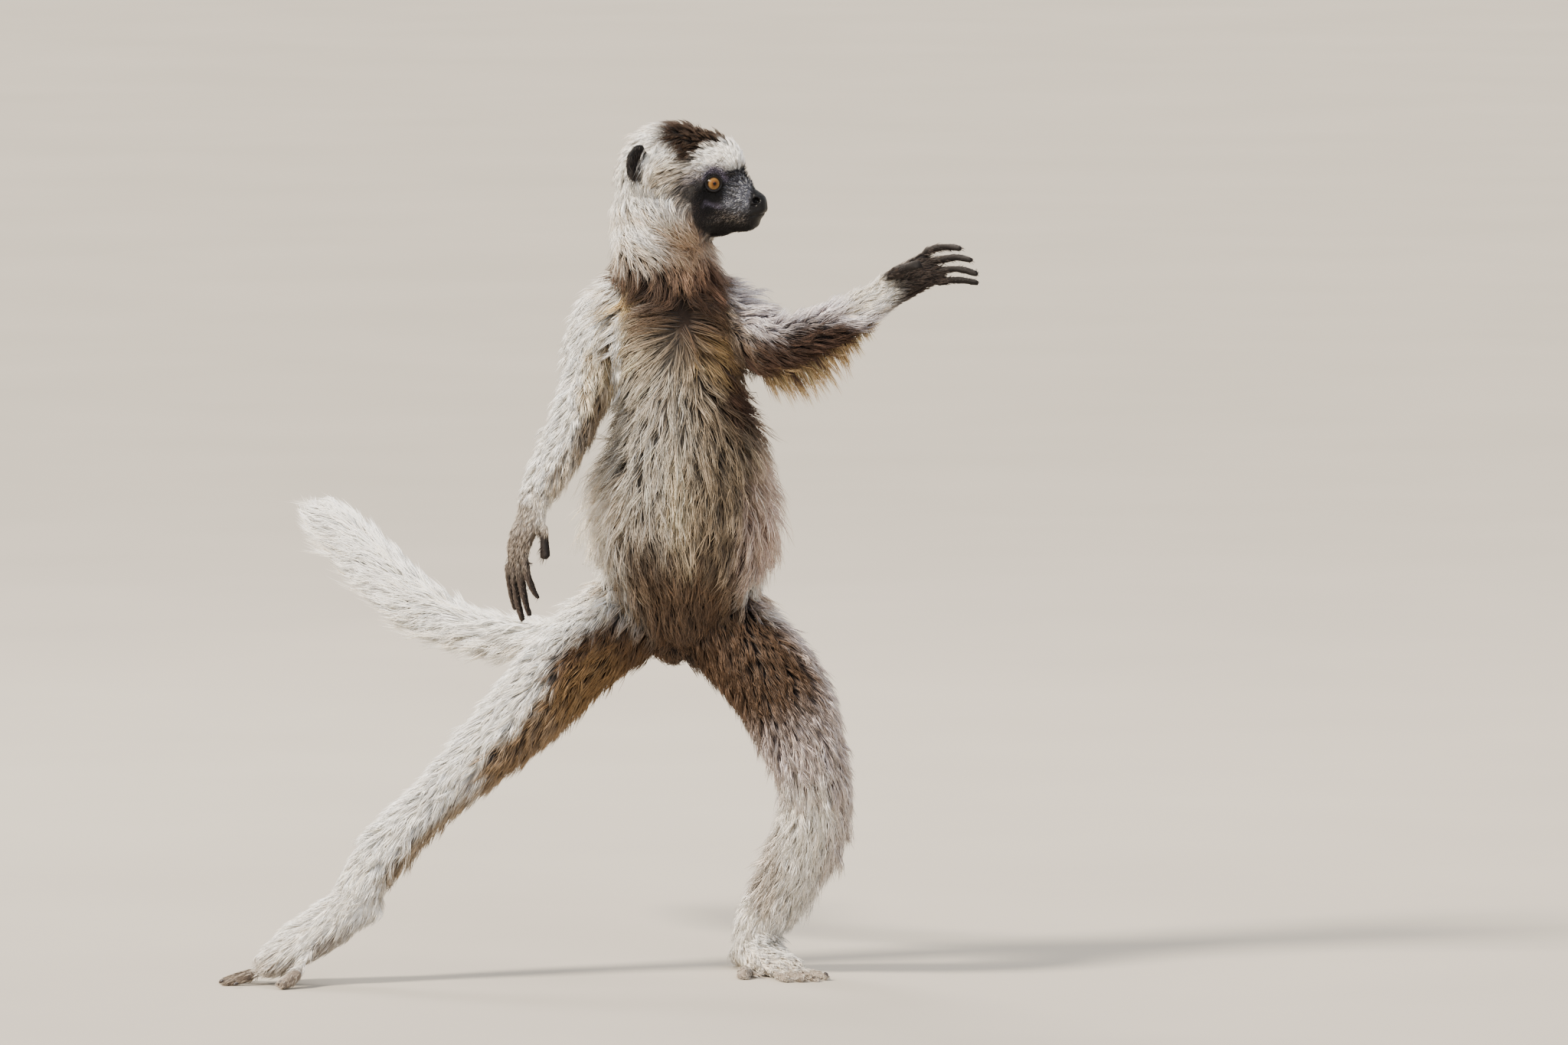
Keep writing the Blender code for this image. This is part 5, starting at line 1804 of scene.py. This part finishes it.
def toned(tree: Tree, colour: Any, tone: Any) -> Socket:
    """Return colour made lighter or darker by tone."""
    return add_node(tree, "ShaderNodeVectorMath", {0: colour, "Scale": tone},
                    operation="SCALE").outputs[0]


def attribute(tree: Tree, name: str, output: str) -> Socket:
    """Return a mesh attribute."""
    return add_node(tree, "ShaderNodeAttribute", attribute_name=name).outputs[output]


@dataclass(frozen=True)
class HairFinish(Finish):
    """Hair grown in solid tapered locks: its markings and painted shade, uneven from place to
    place.

    The eye gets a soft sheen and a little roughness, never a plastic gleam.
    """

    roughness: float
    sheen: float
    uneven: float
    patch: float = 6.0
    streak: float = 2.0
    scale: float = 0.25

    def nodes(self, tree: Tree) -> dict[str, Any]:
        """Lay the nodes and return the surface's inputs.

        Args:
            tree: the material's nodes.

        Returns:
            The inputs.
        """
        rough = grain(tree, self.streak * MM)
        tone = spanned(tree, grain(tree, self.patch * MM), 1.0 - self.uneven, 1.0 + self.uneven)
        bump = add_node(tree, "ShaderNodeBump", {
            "Height": grain(tree, self.scale * MM), "Strength": 0.15, "Distance": 0.1 * MM})
        return {"Base Color": toned(tree, attribute(tree, "marking", "Color"), tone),
                "Roughness": spanned(tree, rough, self.roughness - 0.06, self.roughness + 0.06),
                "Specular IOR Level": 0.25, "Sheen Weight": self.sheen,
                "Sheen Roughness": 0.5, "Normal": bump.outputs[0]}


@dataclass(frozen=True)
class SkinFinish(Finish):
    """Bare skin: dry and pored on the face, moist on the nose and lids."""

    name: str = "bare black skin"
    dry: float = 0.72
    moist: float = 0.30
    pore: float = 0.55

    def nodes(self, tree: Tree) -> dict[str, Any]:
        """Lay the nodes and return the surface's inputs.

        Args:
            tree: the material's nodes.

        Returns:
            The inputs.
        """
        tone = spanned(tree, grain(tree, 3 * MM), 0.8, 1.2)
        place = add_node(tree, "ShaderNodeTexCoord").outputs["Object"]
        cells = add_node(
            tree, "ShaderNodeTexVoronoi", {"Vector": place, "Scale": 1 / (self.pore * MM)},
            feature="DISTANCE_TO_EDGE").outputs[0]
        bump = add_node(tree, "ShaderNodeBump", {
            "Height": spanned(tree, cells, 0.0, 1.0, 0.0, 0.25), "Strength": 0.4,
            "Distance": 0.12 * MM})
        bare = attribute(tree, "bare", "Fac")
        return {"Base Color": toned(tree, attribute(tree, "marking", "Color"), tone),
                "Roughness": spanned(tree, bare, self.dry, self.moist, 0.3, 1.0),
                "Specular IOR Level": 0.22, "Normal": bump.outputs[0]}


@dataclass(frozen=True)
class EyeFinish(Finish):
    """The eyeball under a clear wet cornea: pupil, iris, dark ring and white.

    The angles are degrees from the gaze.
    """

    name: str = "eye"
    pupil: float = 9.5
    iris: float = 41.0
    widest: float = 60.0

    def nodes(self, tree: Tree) -> dict[str, Any]:
        """Lay the nodes and return the surface's inputs.

        Args:
            tree: the material's nodes.

        Returns:
            The inputs.
        """
        stops = ((0.0, "020101"), (self.pupil - 1.5, "020101"), (self.pupil + 1.5, "57300e"),
                 (20.0, "714b1c"), (32.0, "7b5c30"), (self.iris - 3.0, "40290e"),
                 (self.iris, "1c1008"), (self.iris + 4.0, "120c0a"), (self.widest, "3a2a22"))
        fibres = add_node(tree, "ShaderNodeTexNoise", {
            "Vector": attribute(tree, "spoke", "Vector"), "Scale": 14.0, "Detail": 4.0})
        off = add_node(tree, "ShaderNodeMath", {
            0: attribute(tree, "off_gaze", "Fac"), 1: self.widest}, operation="DIVIDE")
        bands = add_node(tree, "ShaderNodeValToRGB", {"Fac": off.outputs[0]})
        marks = bands.color_ramp.elements
        while len(marks) < len(stops):
            marks.new(0.5)
        for mark, (angle, colour) in zip(marks, stops):
            mark.position = angle / self.widest
            mark.color = (*linear(colour), 1.0)
        tone = spanned(tree, fibres.outputs["Fac"], 0.72, 1.25)
        return {"Base Color": toned(tree, bands.outputs["Color"], tone),
                "Roughness": 0.3, "Specular IOR Level": 0.1, "Coat Weight": 0.22,
                "Coat Roughness": 0.02}


@dataclass(frozen=True)
class NailFinish(Finish):
    """Dark worn horn, with a dull gleam."""

    name: str = "nail horn"
    colour: str = "2b2320"

    def nodes(self, tree: Tree) -> dict[str, Any]:
        """Lay the nodes and return the surface's inputs."""
        tone = spanned(tree, grain(tree, 1.5 * MM), 0.6, 1.5)
        return {"Base Color": toned(tree, linear(self.colour), tone),
                "Roughness": spanned(tree, grain(tree, 0.8 * MM), 0.32, 0.5),
                "Specular IOR Level": 0.5}


@dataclass(frozen=True)
class FloorFinish(Finish):
    """A plain pale studio floor, matt."""

    name: str = "pale studio floor"
    colour: str = "b2aca2"

    def nodes(self, tree: Tree) -> dict[str, Any]:
        """Lay the nodes and return the surface's inputs."""
        tone = spanned(tree, grain(tree, 0.4), 0.97, 1.03)
        return {"Base Color": toned(tree, linear(self.colour), tone), "Roughness": 0.9,
                "Specular IOR Level": 0.1}


# ---- eyes, nails, lashes


@dataclass
class Eyes:
    """The two eyeballs, each with the bulge of its cornea."""

    axes: BodyAxes
    segments: int = 64
    rings: int = 48
    bulge: float = 0.0008
    cornea: float = 44.0

    def build(self) -> list[Item]:
        """Return the eyes."""
        return [self.ball("eye_right", 1.0), self.ball("eye_left", -1.0)]

    def ball(self, node: str, sign: float) -> Item:
        """Make one eyeball.

        Args:
            node: the CAD eye that it stands for.
            sign: 1 for the right eye, -1 for the left.

        Returns:
            The eyeball.
        """
        low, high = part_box(node)
        middle, radius = (low + high) / 2, (high - low).x / 2
        bpy.ops.mesh.primitive_uv_sphere_add(
            segments=self.segments, ring_count=self.rings, radius=radius)
        item = bpy.context.object
        item.name = item.data.name = "eyeball_" + node.rsplit("_", 1)[-1]
        points = mesh_points(item.data)
        off = np.degrees(np.arccos(np.clip(points[:, 2] / radius, -1.0, 1.0)))
        rise = (np.cos(np.minimum(off / self.cornea, 1.0) * math.pi) + 1) / 2
        swell = 1.0 + self.bulge / radius * rise
        add_numbers(item.data, "off_gaze", off)
        layer = item.data.attributes.new("spoke", "FLOAT_VECTOR", "POINT")
        around = np.arctan2(points[:, 1], points[:, 0])
        spoke = np.stack((np.cos(around), np.sin(around), off * 0.01), 1)
        layer.data.foreach_set("vector", spoke.astype(np.float32).ravel())
        gaze = self.axes.turn @ Vector((GAZE.x, GAZE.y * sign, GAZE.z))
        turn = np.array(gaze.to_track_quat("Z", "Y").to_matrix())
        set_points(item.data, (points * swell[:, None]) @ turn.T + np.array(middle))
        item.data.shade_smooth()
        unwrap(item, 0.01)
        return item


class Back(Enum):
    """Which way the backs of a hand's or foot's digits face, in the animal's axes."""

    finger_right = (-0.85, -0.50, 0.10)
    finger_left = (0.0, 0.93, 0.36)
    toe_right = (0.1, 0.0, 1.0)
    toe_left = (-0.1, 0.1, 1.0)


@dataclass
class Nails:
    """A keeled nail on the end of each finger and toe."""

    axes: BodyAxes
    size: Triple = (0.0025, 0.0018, 0.0011)
    bow: float = 0.66
    taper: float = 0.35
    tip_length: float = 0.004
    last_bone: float = 0.012
    back_from_tip: float = 0.0028
    first_toe: float = 1.25
    bend: tuple[float, float] = (0.3, 0.7)
    sunk: float = 0.50

    def build(self) -> Item:
        """Return all nails as one piece.

        Returns:
            The piece.
        """
        bpy.ops.mesh.primitive_uv_sphere_add(segments=16, ring_count=10, radius=1.0)
        shape = bpy.context.object
        points = mesh_points(shape.data)
        points[:, 2] -= self.bow * np.maximum(points[:, 0], 0.0) ** 2
        points[:, 1] *= 1.0 - self.taper * np.maximum(points[:, 0], 0.0)
        triangles = mesh_triangles(shape.data)
        bpy.data.objects.remove(shape)
        places, faces = [], []
        for back in Back:
            for digit in range(1, 6):
                spot, rows, scale = self.seat(back, digit)
                faces.append(triangles + len(places) * len(points))
                places.append((points * self.size * scale) @ rows + spot)
        mesh = bpy.data.meshes.new("nails")
        inside = np.clip(np.concatenate(places), CAD_BOX[0], CAD_BOX[1])
        mesh.from_pydata(inside.tolist(), [], np.concatenate(faces).tolist())
        item = new_object("nails", mesh)
        mesh.shade_smooth()
        unwrap(item, 0.002)
        return item

    def seat(self, back: Back, digit: int) -> tuple[Array, Array, float]:
        """Find where a nail sits.

        Args:
            back: the hand or foot, and which way its digits' backs face.
            digit: the digit's number.

        Returns:
            The nail's middle, its own three axes as rows, and its scale.
        """
        stem, side = back.name.split("_")
        points = mesh_points(frame["nodes"][f"{stem}_{digit}_{side}"].data)
        low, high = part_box(("hand_" if stem == "finger" else "foot_") + side)
        middle = points.mean(0)
        _, _, rows = np.linalg.svd(points - middle)
        along = rows[0] * np.sign(rows[0] @ (middle - np.array((low + high) / 2)))
        reach = (points - middle) @ along
        near_tip = points[reach > reach.max() - self.tip_length]
        tip = near_tip.mean(0)
        last = points[reach > reach.max() - self.last_bone]
        bent = unit(tip - last[((last - middle) @ along).argmin()])
        along = unit(bent * self.bend[0] + along * self.bend[1])
        over = np.array(back.value)
        over = unit(over - along * (over @ along))
        thick = ((near_tip - tip) @ over).max()
        spot = tip + over * (thick * self.sunk) - along * self.back_from_tip
        scale = self.first_toe if (stem, digit) == ("toe", 1) else 1.0
        return spot, np.stack((along, np.cross(over, along), over)), scale


@dataclass(frozen=True)
class Tuft:
    """Sparse stiff hairs on the head's right side, in its axes. Sizes are in millimetres.

    Their roots lie at random between low and high, and each hair is the next length drawn.
    """

    count: int
    low: Triple
    high: Triple
    way: Triple
    ragged: float
    lengths: tuple[float, float]


# Whiskers of the lip, then short and long hairs of the brow.
TUFTS = (
    Tuft(16, (52, 15, -26), (64, 15, -14), (-0.35, 0.9, -0.25), 0.2, (14, 24)),
    Tuft(46, (42, 10, 6), (50, 16, 6), (0.90, 0.40, 0.12), 0.14, (5, 9)),
    Tuft(8, (38, 12, 14), (38, 24, 14), (0.5, 0.3, 0.9), 0.15, (8, 14)),
)


@dataclass
class Lashes:
    """Lashes on the lids, and sparse whiskers on lip and brow."""

    coat: Coat
    axes: BodyAxes
    colour: str = "0e0c0c"
    width: float = 0.22
    length: float = 0.0042
    count: int = 26
    ragged: float = 0.12
    start: float = 0.25
    sag: float = 0.12
    lid: tuple[float, float] = (0.72, 0.70)
    lid_height: float = 0.0012
    bent: tuple[float, float] = (0.8, 0.5)
    times: tuple[float, ...] = (0.0, 0.4, 0.75, 1.0)

    def hairs(self) -> tuple[Array, Array, Array]:
        """Return the starts, directions and lengths of the right side's hairs.

        Returns:
            The starts, the directions and the lengths.
        """
        rng = np.random.default_rng(5)
        starts, ways, lengths = [], [], []
        gaze = np.array(GAZE)
        level = unit(np.cross(gaze, UP_ROW))
        rise = np.cross(level, gaze)
        for turn in np.linspace(self.start, math.pi - self.start, self.count):
            out = level * math.cos(turn) + rise * math.sin(turn)
            aim = unit(gaze * self.lid[0] + out * self.lid[1])
            starts.append(np.array(EYE_PLACE) + aim * (EYE_RADIUS + self.lid_height))
            way = out * self.bent[0] + gaze * self.bent[1]
            ways.append(unit(way + rng.normal(0, self.ragged, 3)))
            lengths.append(self.length)
        for tuft in TUFTS:
            low, high = metres(tuft.low), metres(tuft.high)
            for _ in range(tuft.count):
                starts.append(np.array([rng.uniform(a, b) if a < b else a
                                        for a, b in zip(low, high)]))
                ways.append(unit(np.array(tuft.way) + rng.normal(0, tuft.ragged, 3)))
                lengths.append(rng.uniform(*metres(tuft.lengths)))
        return np.array(starts), np.array(ways), np.array(lengths)

    def build(self) -> Item:
        """Return lashes and whiskers as one piece.

        Returns:
            The piece.
        """
        starts, ways, lengths = self.hairs()
        flip = np.array((1.0, -1.0, 1.0))
        starts = self.axes.from_head(np.concatenate((starts, starts * flip)))
        ways = self.axes.head_way(np.concatenate((ways, ways * flip)))
        lengths = np.concatenate((lengths, lengths))[:, None]
        found = [self.coat.tree.find_nearest(Vector(start)) for start in starts]
        roots, normals = (np.array([row[k] for row in found]) for k in (0, 1))
        uv = np.array([self.coat.uv[row[2]].mean(0) for row in found])
        times = np.array(self.times)
        centres = (roots[:, None] + ways[:, None] * (lengths * times)[:, :, None]
                   - UP_ROW * (lengths * self.sag * times ** 2)[:, :, None])
        hair = HairMesh(centres, normals, np.full(len(roots), self.width * MM))
        dark = np.tile(tint(self.colour), (len(roots), 1))
        return hair.build("lashes_and_whiskers", uv, dark, dark)


# ---- studio


class LampKind(Enum):
    """A lamp of some size close by, or a far one that lights the whole floor alike."""

    AREA = "size"
    SUN = "angle"


@dataclass(frozen=True)
class Lamp:
    """A soft lamp that looks at the animal's middle. Places are in metres.

    spread is the side of a near lamp, or the angle that a far one fills.
    """

    name: str
    kind: LampKind
    place: Triple
    strength: float
    spread: float
    colour: str
    glint: float = 1.0

    def add(self, aim: Vector) -> None:
        """Add the lamp, looking at aim.

        Args:
            aim: the place.
        """
        data = bpy.data.lights.new(self.name, self.kind.name)
        data.energy, data.color = self.strength, linear(self.colour)
        setattr(data, self.kind.value, self.spread)
        data.specular_factor = self.glint
        item = new_object(self.name, data)
        item.location = self.place
        item.rotation_euler = (aim - item.location).to_track_quat("-Z", "Y").to_euler()


@dataclass
class Studio:
    """Floor, soft light and camera."""

    axes: BodyAxes
    aim: Vector = Vector((0.1025, -0.045, 0.3713))
    lens: float = 400.0
    sensor: float = 36.0
    across: float = 1.28
    rise: float = math.radians(5.0)
    reach: float = 200.0
    floor_size: float = 80.0
    sky: str = "ecebea"
    sky_strength: float = 1.25
    lamps: tuple[Lamp, ...] = (
        Lamp("key", LampKind.SUN, (-1.9, -1.3, 2.4), 8.6, math.radians(12.0), "fff1de"),
        Lamp("rim", LampKind.AREA, (-0.9, 2.0, 2.6), 70.0, 1.0, "fff6ea"),
        Lamp("fill", LampKind.AREA, (1.5, -4.5, 3.6), 95.0, 2.4, "f2f4ff", 0.10),
    )

    def build(self) -> None:
        """Set the studio up."""
        bpy.ops.mesh.primitive_plane_add(size=self.floor_size)
        floor = bpy.context.object
        floor.name = floor.data.name = "floor"
        floor.data.materials.append(FloorFinish().material())
        aim = self.aim + self.axes.shift
        for lamp in self.lamps:
            lamp.add(aim)
        world = bpy.data.worlds.new("soft studio")
        world.use_nodes = True
        background = world.node_tree.nodes["Background"]
        background.inputs["Color"].default_value = (*linear(self.sky), 1.0)
        background.inputs["Strength"].default_value = self.sky_strength
        bpy.context.scene.world = world
        self.add_camera(aim)

    def add_camera(self, aim: Vector) -> None:
        """Add the camera, a little above the animal's middle and far away.

        Args:
            aim: the place that it looks at.
        """
        data = bpy.data.cameras.new("camera")
        data.lens, data.sensor_width = self.lens, self.sensor
        data.clip_end = self.reach
        data.dof.use_dof = False
        item = new_object("camera", data)
        away = self.across * self.lens / self.sensor
        item.location = aim + Vector((0.0, -math.cos(self.rise), math.sin(self.rise))) * away
        item.rotation_euler = (math.pi / 2 - self.rise, 0.0, 0.0)
        bpy.context.scene.camera = item


def main() -> None:
    """Build the animal and its studio."""
    logging.basicConfig(level=logging.INFO)
    axes = BodyAxes()
    skin = Skin(axes)
    item = skin.build()
    pelt = Groom(skin).pelt()
    unwrap(item, 0.001, angle_limit=math.radians(70.0))
    coat = Coat(skin, pelt)
    dress(item, SkinFinish().material(), "bare_skin", *skin.nodes)
    finishes = {
        "white_coat": HairFinish("white guard hair", 0.62, 0.04, 0.05),
        "grey_coat": HairFinish("grey wool", 0.70, 0.06, 0.12),
        "brown_coat": HairFinish("brown wool", 0.66, 0.06, 0.15),
    }
    hair = {slot: finish.material() for slot, finish in finishes.items()}
    for piece, slot in coat.build():
        dress(piece, hair[slot], slot)
    eye = EyeFinish().material()
    for piece in Eyes(axes).build():
        dress(piece, eye, "eye", "eye_" + piece.name.rsplit("_", 1)[-1])
    dress(Nails(axes).build(), NailFinish().material(), "bare_skin")
    dress(Lashes(coat, axes).build(), hair["brown_coat"], "brown_coat")
    Studio(axes).build()


if __name__ == "__main__":
    main()
